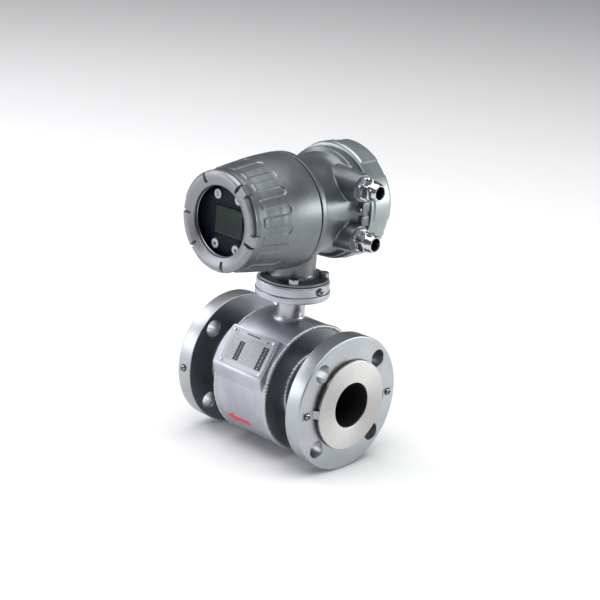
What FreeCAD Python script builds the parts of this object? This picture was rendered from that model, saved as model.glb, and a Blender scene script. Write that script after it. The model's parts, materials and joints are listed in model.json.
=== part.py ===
import FreeCAD, Part
import math
import os
import re

import Sketcher

# Electromagnetic flow meter with a two-chamber converter head.
# Millimetres. Origin at the middle of the pipe axis, +X along the pipe to the
# inlet flange, the display looks to -Y, +Z up.

V = FreeCAD.Vector
DOC = FreeCAD.newDocument("FlowMeter")
SHEET = DOC.addObject("Spreadsheet::Sheet", "Dimensions")
NODES = []

SIZES = [
    # measuring tube and pipe connections
    ("flange_face", 94, "raised face of each flange from the middle"),
    ("flange_thick", 19.5, "thickness of a flange"),
    ("flange_radius", 75, "outer radius of a flange"),
    ("flange_edge", 1.5, "rounding of the flange rim"),
    ("bolt_circle", 120.7, "diameter of the flange bolt circle"),
    ("bolt_hole_radius", 9.5, "radius of a flange bolt hole"),
    ("hub_radius", 38, "radius of the sleeve behind a flange"),
    ("tube_radius", 30.15, "outer radius of the measuring tube"),
    ("tube_wall", 2.77, "wall of the measuring tube"),
    ("liner_bore", 25, "radius of the lined flow bore"),
    ("liner_play", 0.08, "gap between liner and tube"),
    ("flare_radius", 49.8, "radius of the liner's flare on the flange face"),
    ("flare_thick", 3, "thickness of the flare"),
    ("ground_radius", 49.5, "outer radius of a grounding ring"),
    ("ground_thick", 3, "thickness of a grounding ring"),
    ("tube_play", 0.1, "gap round the measuring tube"),
    ("clip_screw_reach", 63, "clip screw from the pipe axis"),
    ("clip_width", 9, "width of a grounding clip"),
    ("clip_thick", 0.8, "sheet thickness of a grounding clip"),
    ("rim_screw_along", 85, "earth screw on the outlet flange's rim"),
    # coil housing
    ("barrel_radius", 71, "outer radius of the coil housing"),
    ("barrel_half", 38.5, "half length of the coil housing"),
    ("barrel_wall", 2.5, "wall of the coil housing"),
    ("end_plate", 3, "thickness of an end plate"),
    ("fit_gap", 0.1, "gap at a seated round fit"),
    ("coil_outer", 25, "outer radius of a field coil"),
    ("coil_inner", 12.4, "inner radius of a field coil"),
    ("coil_low", 36.5, "near face of a coil from the pipe axis"),
    ("coil_room", 7, "from the far face of a coil to the yoke"),
    ("core_radius", 12, "radius of a pole core"),
    ("core_sunk", 0.8, "end of a pole core below the crown of the yoke"),
    ("shoe_radius", 20, "radius of a pole shoe"),
    ("yoke_room", 11, "from the inside of the yoke to the outside of the coil housing"),
    ("yoke_thick", 2, "sheet thickness of the magnet yoke"),
    ("yoke_half", 16, "half width of the magnet yoke"),
    ("electrode_head", 4, "radius of an electrode head"),
    ("electrode_pin", 1.6, "radius of an electrode pin"),
    ("electrode_end", 46, "outer end of an electrode pin"),
    ("insulator_radius", 6, "radius of an electrode insulator"),
    ("insulator_end", 38.5, "outer end of an insulator"),
    # nameplate
    ("plate_tilt", 32, "tilt of the nameplate's normal above level"),
    ("plate_rise", 2.6, "top of the nameplate bracket above the coil housing"),
    ("plate_long", 65, "length of the nameplate"),
    ("plate_high", 42, "height of the nameplate"),
    ("plate_thick", 0.8, "thickness of the nameplate"),
    ("plate_mid_long", -1.5, "middle of the nameplate along the pipe"),
    ("plate_mid_high", 3.5, "middle of the nameplate up the slope"),
    ("bracket_top", 28, "upper edge of the bracket up the slope"),
    ("bracket_low", 34, "lower edge of the bracket down the slope"),
    ("bracket_fold", 22.5, "fold of the bracket down the slope"),
    ("bracket_bow", 43, "furthest reach of the bowed end"),
    ("bracket_tip", 36.5, "reach of the bowed end at its corners"),
    ("rivet_radius", 1.5, "radius of a nameplate rivet"),
    # pedestal
    ("neck_radius", 15.5, "outer radius of the neck pipe"),
    ("neck_wall", 2.5, "wall of the neck pipe"),
    ("neck_sunk", 4.5, "depth of the neck pipe in the coil housing"),
    ("neck_flange_thick", 7, "thickness of the neck flange"),
    ("adapter_thick", 10.8, "thickness of the adapter ring"),
    ("head_rise", 80.1, "axis of the converter above the adapter ring"),
    ("neck_flange_radius", 41, "outer radius of the neck flange"),
    ("adapter_radius", 40, "outer radius of the adapter ring"),
    ("seal_thick", 0.8, "thickness of the foot gasket"),
    ("foot_high", 2.6, "thickness of the converter's foot"),
    ("foot_radius", 38.6, "outer radius of the converter's foot"),
    ("foot_circle", 66, "diameter of the foot's bolt circle"),
    ("foot_hole", 3.3, "radius of a foot bolt hole"),
    ("foot_bolt", 3, "radius of a foot bolt's shank"),
    ("foot_bolt_head", 4.2, "height of a foot bolt's head"),
    ("foot_bolt_width", 10, "width across the flats of a foot bolt"),
    ("washer_radius", 5.5, "radius of a foot bolt washer"),
    ("washer_thick", 1.2, "thickness of a foot bolt washer"),
    # converter housing
    ("head_high", 195.6, "height of the converter's axis"),
    ("cast_neck", 23.5, "radius of the cast neck"),
    ("cable_way", 8, "radius of the cable way through the neck"),
    ("body_radius", 52, "outer radius of the housing's waist"),
    ("chamber_gap", 3, "gap between the electronics case and the front chamber"),
    ("rear_chamber", 46.5, "radius of the rear chamber"),
    ("wall_front", 8, "front face of the partition"),
    ("wall_rear", 12, "rear face of the partition"),
    ("collar_face", -27.2, "front face of the front collar"),
    ("collar_back", -20, "back of the front collar"),
    ("collar_size", 62, "outer radius of the front collar"),
    ("spigot_radius", 56, "radius of the threaded spigots"),
    ("spigot_long", 17, "length of the front spigot"),
    ("rear_spigot_long", 13, "length of the rear spigot"),
    ("rear_ring", 60.5, "outer radius of the rear ring"),
    ("rear_ring_front", 36, "front face of the rear ring"),
    ("rear_ring_back", 45, "back of the rear ring"),
    ("flare_start", 28, "start of the flare to the rear ring"),
    ("gland_far", 64.5, "end of a gland boss"),
    ("gland_along", 29, "gland axis behind the middle"),
    ("gland_spacing", 56, "distance between the two glands"),
    ("gland_rise", 3, "middle of the glands above the head's axis"),
    ("boss_end", 15, "radius of a gland boss at its end"),
    ("boss_long", 32, "length of a gland boss with its root"),
    ("boss_taper", 5.5, "draft of a gland boss"),
    ("gland_thread", 10, "radius of a gland's threaded hole"),
    ("lug_side", 13, "width of the lock lug"),
    ("lug_reach", 64, "reach of the lock lug from the head's axis"),
    # covers
    ("cover_gap", 0.6, "gap between a cover and its collar"),
    ("thread_play", 0.3, "gap between a cover and its spigot"),
    ("bezel_face", -120, "front face of the front cover"),
    ("bezel_radius", 52, "radius of the front face"),
    ("bezel_flat", 47, "inner radius of the flat front face"),
    ("bezel_lip", -116.2, "edge of the window opening"),
    ("shoulder_face", -116, "start of the cover's shoulder"),
    ("shoulder_radius", 53.4, "radius of the cover's shoulder"),
    ("land_front", -104.3, "front end of the grip lands"),
    ("grip_front", 55.1, "radius of the lands at their front end"),
    ("cover_waist", -60, "change of draft of the front cover"),
    ("waist_radius", 60.6, "radius of the front cover at the change of draft"),
    ("cover_radius", 62.4, "radius of the front cover's mouth"),
    ("grip_depth", 0.9, "depth of the grip recesses"),
    ("grip_width", 9.2, "width of a grip recess"),
    ("grip_end", -69.8, "rear end of a grip recess"),
    ("grip_count", 18, "number of grip recesses"),
    ("window_radius", 37.5, "radius of the window opening"),
    ("glass_front", -110.5, "front face of the window glass"),
    ("glass_thick", 4, "thickness of the window glass"),
    ("glass_radius", 42.5, "radius of the window glass"),
    ("gasket_thick", 0.5, "thickness of the window gasket"),
    ("retainer_inner", 40, "inner radius of the retaining ring"),
    ("retainer_outer", 44, "outer radius of the retaining ring"),
    ("retainer_thick", 4, "thickness of the retaining ring"),
    ("case_gap", 2.5, "gap between the electronics case and the front cover"),
    ("notch_width", 2.5, "width of a bezel notch"),
    ("notch_depth", 5, "depth of a bezel notch"),
    ("notch_inner", 42, "inner end of a bezel notch"),
    ("lug_rim", 49.6, "radius of the rim between the bezel lugs"),
    ("lug_depth", 4, "depth of the rim between the bezel lugs"),
    ("rear_radius", 63.5, "outer radius of the rear cover"),
    ("rear_end", 77.5, "back of the rear cover"),
    ("rear_round", 5, "rounding of the rear cover"),
    ("rear_skin", 5, "thickness of the rear cover's back"),
    ("pad_rise", 0.9, "height of the rear cover's pads"),
    ("ring_cord", 1.05, "half thickness of a cover seal"),
    ("ring_mid", 57.4, "radius of a cover seal"),
    # display module
    ("case_radius", 45, "outer radius of the electronics case"),
    ("case_front", -99.5, "front of the electronics case"),
    ("case_back", -8, "back of the electronics case"),
    ("panel_front", -104, "front face of the display panel"),
    ("panel_inset", 5.5, "edge of the display panel inside the case"),
    ("panel_thick", 2.5, "thickness of the display panel"),
    ("screen_wide", 40.6, "width of the screen opening"),
    ("screen_high", 29.8, "height of the screen opening"),
    ("screen_off", 1, "screen to the right of the head's axis"),
    ("screen_low", -1.7, "screen below the head's axis"),
    ("screen_play", 0.2, "gap round the screen"),
    ("board_front", -96.5, "front face of the display board"),
    ("board_thick", 1.6, "thickness of a board"),
    ("key_radius", 5.8, "radius of a key"),
    ("key_play", 0.3, "gap round a key"),
    ("key_proud", 1.5, "key above the panel"),
    ("key_side", 15.3, "keys left and right of the axis"),
    ("key_up_inset", 15, "axis of an upper key below the top of the display panel"),
    ("key_down_inset", 11, "axis of a lower key above the bottom of the display panel"),
    # cable glands
    ("gland_flats", 24, "width across the flats of a gland"),
    ("gland_hex", 6, "length of a gland's hexagon"),
    ("nut_hex", 8, "length of a gland nut's hexagon"),
    ("gland_neck", 10.5, "radius of a gland's threaded neck"),
    ("gland_neck_end", 78, "end of a gland's neck"),
    ("gland_bore", 6.5, "radius of a gland's bore"),
    ("gland_seat", 8.7, "radius of the seal seat"),
    ("seal_bore", 6.6, "bore of an open gland seal"),
    ("gland_end", 87.5, "end of a gland nut"),
    ("nut_play", 0.6, "gap between gland nut and body"),
    ("nut_hole", 6.8, "radius of a gland nut's mouth"),
]


def fill_sheet():
    for row, (name, value, note) in enumerate(SIZES, 1):
        SHEET.set("A%d" % row, name)
        SHEET.set("B%d" % row, str(value))
        SHEET.set("C%d" % row, note)
        SHEET.setAlias("B%d" % row, name)
    DOC.recompute()


NAMES = {name for name, value, note in SIZES}

# Places and sizes that follow from the ones in the sheet
DERIVED = {
    "plate_level": "barrel_radius + plate_rise",
    "neck_base": "barrel_radius - neck_sunk",
    "yoke_inner": "barrel_radius - yoke_room",
    "coil_high": "yoke_inner - coil_room",
    "core_top": "yoke_inner - core_sunk",
    "pedestal_top": "head_high - head_rise",
    "pedestal_joint": "pedestal_top - adapter_thick",
    "pedestal_low": "pedestal_joint - neck_flange_thick",
    "cover_inner": "case_radius + case_gap",
    "chamber_radius": "case_radius + chamber_gap",
    "panel_radius": "case_radius - panel_inset",
    "key_up": "panel_radius - key_up_inset",
    "key_down": "panel_radius - key_down_inset",
}


def linked(text):
    """Expression text with each size name tied to the sheet."""
    def swap(match):
        word = match.group(0)
        if word in DERIVED:
            return "(%s)" % linked(DERIVED[word])
        return "Dimensions." + word if word in NAMES else word
    return re.sub(r"[a-z_]+", swap, str(text))


def size(text):
    return float(SHEET.evalExpression(linked(text)))


def tie(thing, prop, text):
    thing.setExpression(prop, linked(text))


def new_body(name, base=("0", "0", "0"), turn=None):
    body = DOC.addObject("PartDesign::Body", name)
    body.Label = name
    if turn:
        body.Placement = FreeCAD.Placement(V(0, 0, 0), FreeCAD.Rotation(V(*turn[0]), turn[1]))
    for axis, text in zip("xyz", base):
        tie(body, "Placement.Base." + axis, text)
    NODES.append(body)
    return body


def plane_of(body, role):
    return [item for item in body.Origin.OriginFeatures if item.Role == role][0]


def new_sketch(body, role, lift="0", lean=None):
    sketch = body.newObject("Sketcher::SketchObject", body.Label + "_sketch")
    sketch.AttachmentSupport = [(plane_of(body, role), "")]
    sketch.MapMode = "FlatFace"
    if lean:
        sketch.AttachmentOffset = FreeCAD.Placement(V(0, 0, 0), FreeCAD.Rotation(V(*lean[0]), lean[1]))
    tie(sketch, "AttachmentOffset.Base.z", lift)
    return sketch


def fix_point(sketch, edge, end, point):
    for kind, text in zip(("DistanceX", "DistanceY"), point):
        index = sketch.addConstraint(Sketcher.Constraint(kind, -1, 1, edge, end, size(text)))
        tie(sketch, "Constraints[%d]" % index, text)


def draw(sketch, points, arcs=None):
    """Closed outline through points; arcs maps an edge number to its middle point."""
    arcs = arcs or {}
    spots = [V(size(a), size(b), 0) for a, b in points]
    count = len(spots)
    for index in range(count):
        start, stop = spots[index], spots[(index + 1) % count]
        if index in arcs:
            mid = V(size(arcs[index][0]), size(arcs[index][1]), 0)
            edge = sketch.addGeometry(Part.Arc(start, mid, stop), False)
        else:
            edge = sketch.addGeometry(Part.LineSegment(start, stop), False)
        first = 1 if (sketch.getPoint(edge, 1) - start).Length < 1e-6 else 2
        fix_point(sketch, edge, first, points[index])
        fix_point(sketch, edge, 3 - first, points[(index + 1) % count])
        if index in arcs:
            hold_arc(sketch, edge, (stop - start).Length)
    return sketch


def hold_arc(sketch, edge, chord):
    """Fix an arc by its radius, or a half circle by its middle."""
    arc = sketch.Geometry[edge]
    if arc.Radius - chord / 2 > 1e-4:
        sketch.addConstraint(Sketcher.Constraint("Radius", edge, arc.Radius))
    else:
        sketch.addConstraint(Sketcher.Constraint("DistanceX", -1, 1, edge, 3, arc.Center.x))


def rings(sketch, circles):
    for across, up, radius in circles:
        spot = V(size(across), size(up), 0)
        edge = sketch.addGeometry(Part.Circle(spot, V(0, 0, 1), size(radius)), False)
        fix_point(sketch, edge, 3, (across, up))
        index = sketch.addConstraint(Sketcher.Constraint("Radius", edge, size(radius)))
        tie(sketch, "Constraints[%d]" % index, radius)
    return sketch


def box_points(left, right, low, high):
    return [(left, low), (right, low), (right, high), (left, high)]


AXES = {"x": ("XY_Plane", "H_Axis"), "y": ("XY_Plane", "V_Axis"), "z": ("XZ_Plane", "V_Axis")}


def turned(body, axis, profile, cut=False, angle=None, lean=None, arcs=None):
    """Turned feature; the profile lists (distance along the axis, radius)."""
    role, line = AXES[axis]
    flip = axis != "x"
    points = [(radius, along) if flip else (along, radius) for along, radius in profile]
    if arcs and flip:
        arcs = {key: (spot[1], spot[0]) for key, spot in arcs.items()}
    sketch = draw(new_sketch(body, role, "0", lean), points, arcs)
    kind = "PartDesign::Groove" if cut else "PartDesign::Revolution"
    feature = body.newObject(kind, body.Label + ("_groove" if cut else "_turn"))
    feature.Profile = sketch
    feature.ReferenceAxis = (sketch, [line])
    if angle:
        feature.Midplane = True
        feature.Angle = angle
    DOC.recompute()
    return feature


def padded(body, sketch, length, back=False, both=False, taper=None):
    feature = body.newObject("PartDesign::Pad", body.Label + "_pad")
    feature.Profile = sketch
    tie(feature, "Length", length)
    feature.Reversed = back
    if both:
        feature.SideType = "Symmetric"
    if taper:
        tie(feature, "TaperAngle", taper)
    DOC.recompute()
    return feature


def pocket(body, sketch, length, back=False, both=False):
    feature = body.newObject("PartDesign::Pocket", body.Label + "_pocket")
    feature.Profile = sketch
    tie(feature, "Length", length)
    feature.Reversed = back
    if both:
        feature.SideType = "Symmetric"
    DOC.recompute()
    return feature


def repeat(body, features, axis, count, angle="360"):
    pattern = body.newObject("PartDesign::PolarPattern", body.Label + "_pattern")
    pattern.Originals = features
    pattern.Axis = (plane_of(body, axis + "_Axis"), [""])
    tie(pattern, "Angle", angle)
    tie(pattern, "Occurrences", count)
    body.Tip = pattern
    DOC.recompute()
    return pattern


def soften(body, radius, pick, kind="PartDesign::Chamfer"):
    """Chamfer or fillet on the edges that pick() accepts."""
    shape = body.Tip.Shape
    edges = ["Edge%d" % (index + 1) for index, edge in enumerate(shape.Edges) if pick(edge)]
    if not edges:
        raise RuntimeError("no edge found on " + body.Label)
    tip = body.Tip
    feature = body.newObject(kind, body.Label + "_edge")
    feature.Base = (tip, edges)
    tie(feature, "Radius" if kind.endswith("Fillet") else "Size", radius)
    DOC.recompute()
    return feature


def round_edge(axis, along, radius, slack=0.05):
    """Chooser for a full circle at a place along an axis of the body."""
    place = "xyz".index(axis)

    def pick(edge):
        if not isinstance(edge.Curve, Part.Circle) or not edge.Closed:
            return False
        return abs(edge.Curve.Center[place] - size(along)) < slack and abs(
            edge.Curve.Radius - size(radius)) < slack
    return pick


def place(thing, base, turn=None):
    if turn:
        thing.Placement = FreeCAD.Placement(V(0, 0, 0), FreeCAD.Rotation(V(*turn[0]), turn[1]))
    for axis, text in zip("xyz", base):
        tie(thing, "Placement.Base." + axis, text)
    return thing


def cylinder(name, radius, height, base, turn=None):
    solid = DOC.addObject("Part::Cylinder", name)
    tie(solid, "Radius", radius)
    tie(solid, "Height", height)
    return place(solid, base, turn)


def hexagon(name, flats, height, base, turn=None):
    solid = DOC.addObject("Part::Prism", name)
    solid.Polygon = 6
    tie(solid, "Circumradius", "(%s) / 2 / cos(30)" % flats)
    tie(solid, "Height", height)
    return place(solid, base, turn)


def block(name, long, deep, high, base):
    solid = DOC.addObject("Part::Box", name)
    tie(solid, "Length", long)
    tie(solid, "Width", deep)
    tie(solid, "Height", high)
    return place(solid, base)


def joined(name, parts):
    fuse = DOC.addObject("Part::MultiFuse", name)
    fuse.Shapes = parts
    return fuse


def without(name, base, tool):
    cut = DOC.addObject("Part::Cut", name)
    cut.Base = base
    cut.Tool = tool
    return cut


def group(name, parts):
    """One node that holds several equal pieces as separate solids."""
    node = DOC.addObject("Part::Compound", name)
    node.Links = parts
    node.Label = name
    NODES.append(node)
    return node


def node(thing, name):
    thing.Label = name
    NODES.append(thing)
    return thing


ALONG = {"+x": ((0, 1, 0), 90), "-x": ((0, 1, 0), -90), "+y": ((1, 0, 0), -90),
         "-y": ((1, 0, 0), 90), "+z": None, "-z": ((1, 0, 0), 180)}


# ---------------------------------------------------------------- pipe side

def flange(name, turn):
    body = new_body(name, turn=turn)
    turned(body, "x", [
        ("barrel_half", "tube_radius + tube_play"), ("flange_face", "tube_radius + tube_play"),
        ("flange_face", "flange_radius"), ("flange_face - flange_thick", "flange_radius"),
        ("flange_face - flange_thick", "hub_radius"), ("barrel_half", "hub_radius")])
    soften(body, "flange_edge", lambda edge: round_edge("x", "flange_face", "flange_radius")(edge)
           or round_edge("x", "flange_face - flange_thick", "flange_radius")(edge))
    off = "bolt_circle / 2 * cos(45)"
    sketch = rings(new_sketch(body, "YZ_Plane", "flange_face + 1"), [(off, off, "bolt_hole_radius")])
    hole = pocket(body, sketch, "flange_thick + 2")
    repeat(body, [hole], "X", "4")
    seats = rings(new_sketch(body, "YZ_Plane", "flange_face + 1"), [
        ("clip_screw_reach", "0", "1.7"), ("-clip_screw_reach", "0", "1.7")])
    pocket(body, seats, "9")
    if name.startswith("outlet"):
        for radius, deep in (("5", "2"), ("2.1", "9")):
            seat = rings(new_sketch(body, "XZ_Plane", "-flange_radius - 1"), [
                ("rim_screw_along", "0", radius)])
            pocket(body, seat, deep, back=True)


def measuring_tube():
    body = new_body("measuring_tube")
    turned(body, "x", [
        ("-flange_face", "tube_radius - tube_wall"), ("flange_face", "tube_radius - tube_wall"),
        ("flange_face", "tube_radius"), ("-flange_face", "tube_radius")])
    holes = rings(new_sketch(body, "XZ_Plane"), [("0", "0", "electrode_pin + 1.5")])
    pocket(body, holes, "4 * tube_radius", both=True)


def liner():
    body = new_body("liner")
    outer = "tube_radius - tube_wall - liner_play"
    turned(body, "x", [
        ("-flange_face - flare_thick", "liner_bore"), ("flange_face + flare_thick", "liner_bore"),
        ("flange_face + flare_thick", "flare_radius"), ("flange_face", "flare_radius"),
        ("flange_face", outer), ("-flange_face", outer),
        ("-flange_face", "flare_radius"), ("-flange_face - flare_thick", "flare_radius")])
    holes = rings(new_sketch(body, "XZ_Plane"), [("0", "0", "electrode_head + fit_gap")])
    pocket(body, holes, "4 * tube_radius", both=True)


def grounding_ring(name, turn):
    body = new_body(name, turn=turn)
    near = "flange_face + flare_thick"
    turned(body, "x", [
        (near, "liner_bore"), (near + " + ground_thick", "liner_bore"),
        (near + " + ground_thick", "ground_radius"), (near, "ground_radius")])
    soften(body, "0.5", round_edge("x", near + " + ground_thick", "ground_radius"))


def clip(name, turn):
    """Bent strip from the rim of a grounding ring to the flange face."""
    body = DOC.addObject("PartDesign::Body", name)
    body.Placement = FreeCAD.Placement(V(0, 0, 0), FreeCAD.Rotation(V(*turn[0]), turn[1]))
    high = "flange_face + flare_thick + ground_thick - 0.9"
    rim = "ground_radius + 0.4"
    sketch = draw(new_sketch(body, "XY_Plane"), [
        ("flange_face", rim + " + 18.5"), ("flange_face", rim + " + 4"), (high, rim),
        (high + " + clip_thick", rim), ("flange_face + clip_thick", rim + " + 4.4"),
        ("flange_face + clip_thick", rim + " + 18.5")])
    padded(body, sketch, "clip_width", both=True)
    seat = rings(new_sketch(body, "YZ_Plane", "flange_face - 1"), [("clip_screw_reach", "0", "2.2")])
    pocket(body, seat, "4", back=True)
    return body


def grounding_clips():
    turns = [((1, 0, 0), 0), ((1, 0, 0), 180), ((0, 1, 0), 180), ((0, 0, 1), 180)]
    group("grounding_clips", [clip("clip_%d" % index, turn) for index, turn in enumerate(turns)])
    screws = []
    for index, (side, way) in enumerate([(1, 1), (1, -1), (-1, 1), (-1, -1)]):
        turn = ALONG["+x" if side > 0 else "-x"]
        out = "%d * clip_screw_reach" % way
        head = cylinder("clip_head_%d" % index, "3.6", "2.4",
                        ("%d * (flange_face + clip_thick)" % side, out, "0"), turn)
        shank = cylinder("clip_shank_%d" % index, "1.5", "8",
                         ("%d * (flange_face - 6)" % side, out, "0"), turn)
        screws.append(joined("clip_screw_%d" % index, [head, shank]))
    group("clip_screws", screws)


def coil_housing():
    body = new_body("coil_housing")
    turned(body, "x", [
        ("-barrel_half", "barrel_radius - barrel_wall"), ("barrel_half", "barrel_radius - barrel_wall"),
        ("barrel_half", "barrel_radius"), ("-barrel_half", "barrel_radius")])
    hole = rings(new_sketch(body, "XY_Plane"), [("0", "0", "neck_radius + fit_gap")])
    pocket(body, hole, "barrel_radius + 5", back=True)


def end_plate(name, turn):
    body = new_body(name, turn=turn)
    near = "barrel_half - end_plate"
    rim = "barrel_radius - barrel_wall - fit_gap"
    turned(body, "x", [(near, "tube_radius + tube_play"), ("barrel_half", "tube_radius + tube_play"),
                       ("barrel_half", rim), (near, rim)])


def field_coil(name, turn):
    body = new_body(name, turn=turn)
    turned(body, "z", [("coil_low", "coil_inner"), ("coil_high", "coil_inner"),
                       ("coil_high", "coil_outer"), ("coil_low", "coil_outer")])
    soften(body, "2.5", lambda edge: round_edge("z", "coil_low", "coil_outer")(edge)
           or round_edge("z", "coil_high", "coil_outer")(edge))


def pole_core(name, turn):
    body = new_body(name, turn=turn)
    turned(body, "z", [("10", "0"), ("10", "shoe_radius"), ("coil_low - 0.5", "shoe_radius"),
                       ("coil_low - 0.5", "core_radius"), ("core_top", "core_radius"),
                       ("core_top", "0")])
    turned(body, "x", [("-barrel_half", "0"), ("barrel_half", "0"),
                       ("barrel_half", "tube_radius + tube_play"),
                       ("-barrel_half", "tube_radius + tube_play")], cut=True)


def magnet_yoke():
    body = new_body("magnet_yoke")
    turned(body, "x", [("-yoke_half", "yoke_inner"), ("yoke_half", "yoke_inner"),
                       ("yoke_half", "yoke_inner + yoke_thick"),
                       ("-yoke_half", "yoke_inner + yoke_thick")])


def electrode(name, turn):
    body = new_body(name, turn=turn)
    seat = "tube_radius - tube_wall - liner_play"
    turned(body, "y", [("liner_bore", "0"), ("liner_bore", "electrode_head"),
                       (seat + " - 0.6", "electrode_head"), (seat + " - 0.6", "electrode_pin"),
                       ("electrode_end", "electrode_pin"), ("electrode_end", "0")])


def insulator(name, turn):
    body = new_body(name, turn=turn)
    turned(body, "y", [("20", "electrode_pin + fit_gap"), ("insulator_end", "electrode_pin + fit_gap"),
                       ("insulator_end", "insulator_radius"), ("20", "insulator_radius")])
    turned(body, "x", [("-20", "0"), ("20", "0"), ("20", "tube_radius + tube_play"),
                       ("-20", "tube_radius + tube_play")], cut=True)


def electrode_nuts():
    nuts = []
    for index, way in enumerate(("+y", "-y")):
        start = "%d * insulator_end" % (1 if way == "+y" else -1)
        body = hexagon("nut_body_%d" % index, "7", "2.6", ("0", start, "0"), ALONG[way])
        hole = cylinder("nut_hole_%d" % index, "electrode_pin + fit_gap", "2.6",
                        ("0", start, "0"), ALONG[way])
        nuts.append(without("nut_%d" % index, body, hole))
    group("electrode_nuts", nuts)


# ---------------------------------------------------------------- nameplate

def nameplate_bracket():
    body = new_body("nameplate_bracket")
    turn_bracket(body)
    plan = draw(new_sketch(body, "XY_Plane", "plate_level"), [
        ("barrel_half", "-bracket_low"), ("barrel_half", "bracket_top"),
        ("-bracket_tip", "bracket_top"), ("-bracket_tip + 1.5", "-bracket_low")],
        {2: ("-bracket_bow", "-6")})
    padded(body, plan, "30", back=True)
    lean = draw(new_sketch(body, "YZ_Plane"), [
        ("-bracket_fold", "plate_level"), ("-bracket_fold", "plate_level + 5"),
        ("-bracket_low - 5", "plate_level + 5"), ("-bracket_low - 5", "plate_level - 16.5")])
    pocket(body, lean, "200", both=True)
    turned(body, "x", [("-60", "0"), ("60", "0"), ("60", "barrel_radius + fit_gap"),
                       ("-60", "barrel_radius + fit_gap")], cut=True)


def turn_bracket(thing):
    """Turn a body so that its Y runs up the slope and its Z along the plate's normal."""
    thing.Placement = FreeCAD.Placement(V(0, 0, 0), FreeCAD.Rotation(V(1, 0, 0), 58))
    tie(thing, "Placement.Rotation.Angle", "90 - plate_tilt")


def nameplate():
    body = new_body("nameplate")
    turn_bracket(body)
    plan = draw(new_sketch(body, "XY_Plane", "plate_level"), box_points(
        "plate_mid_long - plate_long / 2", "plate_mid_long + plate_long / 2",
        "plate_mid_high - plate_high / 2", "plate_mid_high + plate_high / 2"))
    padded(body, plan, "plate_thick")
    soften(body, "2", lambda edge: abs(edge.Length - size("plate_thick")) < 0.01, "PartDesign::Fillet")


def rivets():
    parts = []
    for index, (side, way) in enumerate([(1, 1), (1, -1), (-1, 1), (-1, -1)]):
        body = DOC.addObject("PartDesign::Body", "rivet_%d" % index)
        turn_bracket(body)
        sketch = rings(new_sketch(body, "XY_Plane", "plate_level + plate_thick"), [(
            "plate_mid_long + %d * (plate_long / 2 - 3)" % side,
            "plate_mid_high + %d * (plate_high / 2 - 3)" % way, "rivet_radius")])
        padded(body, sketch, "0.9")
        parts.append(body)
    group("rivets", parts)


# ---------------------------------------------------------------- pedestal

def neck_pipe():
    body = new_body("neck_pipe")
    bore = "neck_radius - neck_wall"
    turned(body, "z", [("neck_base", bore), ("pedestal_low", bore), ("pedestal_low", "neck_radius"),
                       ("neck_base", "neck_radius")])


def neck_flange():
    body = new_body("neck_flange")
    turned(body, "z", [("pedestal_low", "cable_way"), ("pedestal_joint", "cable_way"),
                       ("pedestal_joint", "neck_flange_radius"), ("pedestal_low", "neck_flange_radius")])
    soften(body, "1.5", round_edge("z", "pedestal_low", "neck_flange_radius"))


def adapter_ring():
    body = new_body("adapter_ring")
    turned(body, "z", [("pedestal_joint", "cable_way"), ("pedestal_top", "cable_way"),
                       ("pedestal_top", "adapter_radius"), ("pedestal_joint", "adapter_radius")])
    soften(body, "0.8", round_edge("z", "pedestal_joint", "adapter_radius"))
    off = "foot_circle / 2 * cos(45)"
    sketch = rings(new_sketch(body, "XY_Plane", "pedestal_top + 1"), [(off, off, "foot_bolt + fit_gap")])
    hole = pocket(body, sketch, "10")
    repeat(body, [hole], "Z", "4")
    seat = rings(new_sketch(body, "YZ_Plane", "adapter_radius + 1"), [("0", "pedestal_top - 5.5", "2.1")])
    pocket(body, seat, "8")


def foot_gasket():
    body = new_body("foot_gasket")
    high = "pedestal_top + seal_thick"
    turned(body, "z", [("pedestal_top", "cable_way + 2"), (high, "cable_way + 2"),
                       (high, "26"), ("pedestal_top", "26")])


def foot_bolts():
    bolts = []
    washers = []
    top = "pedestal_top + seal_thick + foot_high"
    for index in range(4):
        angle = 45 + 90 * index
        spot = ("foot_circle / 2 * cos(%d)" % angle, "foot_circle / 2 * sin(%d)" % angle)
        disc = cylinder("washer_disc_%d" % index, "washer_radius", "washer_thick", spot + (top,))
        hole = cylinder("washer_hole_%d" % index, "foot_bolt + fit_gap", "washer_thick", spot + (top,))
        washers.append(without("washer_%d" % index, disc, hole))
        head = hexagon("bolt_head_%d" % index, "foot_bolt_width", "foot_bolt_head",
                       spot + (top + " + washer_thick",))
        shank = cylinder("bolt_shank_%d" % index, "foot_bolt", "foot_high + seal_thick + 9",
                         spot + (top + " + washer_thick - foot_high - seal_thick - 9",))
        bolts.append(joined("bolt_%d" % index, [head, shank]))
    group("foot_bolts", bolts)
    group("foot_washers", washers)


def earth_screws():
    high = "pedestal_top - 5.5"
    washer = cylinder("earth_disc", "4.6", "1", ("adapter_radius", "0", high), ALONG["+x"])
    head = cylinder("earth_head", "3.6", "2.6", ("adapter_radius + 1", "0", high), ALONG["+x"])
    shank = cylinder("earth_shank", "2", "6", ("adapter_radius - 5.5", "0", high), ALONG["+x"])
    node(joined("earth_screw", [washer, head, shank]), "earth_screw")
    parts = []
    for name, radius, long, start in (("disc", "4.6", "1", "1"), ("head", "3.6", "2.6", "0"),
                                      ("shank", "2", "6", "6.5")):
        spot = ("-rim_screw_along", "-flange_radius + " + start, "0")
        parts.append(cylinder("rim_screw_" + name, radius, long, spot, ALONG["-y"]))
    node(joined("rim_screw", parts), "rim_screw")


# ---------------------------------------------------------------- converter housing

HEAD = ("0", "0", "head_high")
GLANDS = {"upper": "gland_rise + gland_spacing / 2", "lower": "gland_rise - gland_spacing / 2"}


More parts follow.
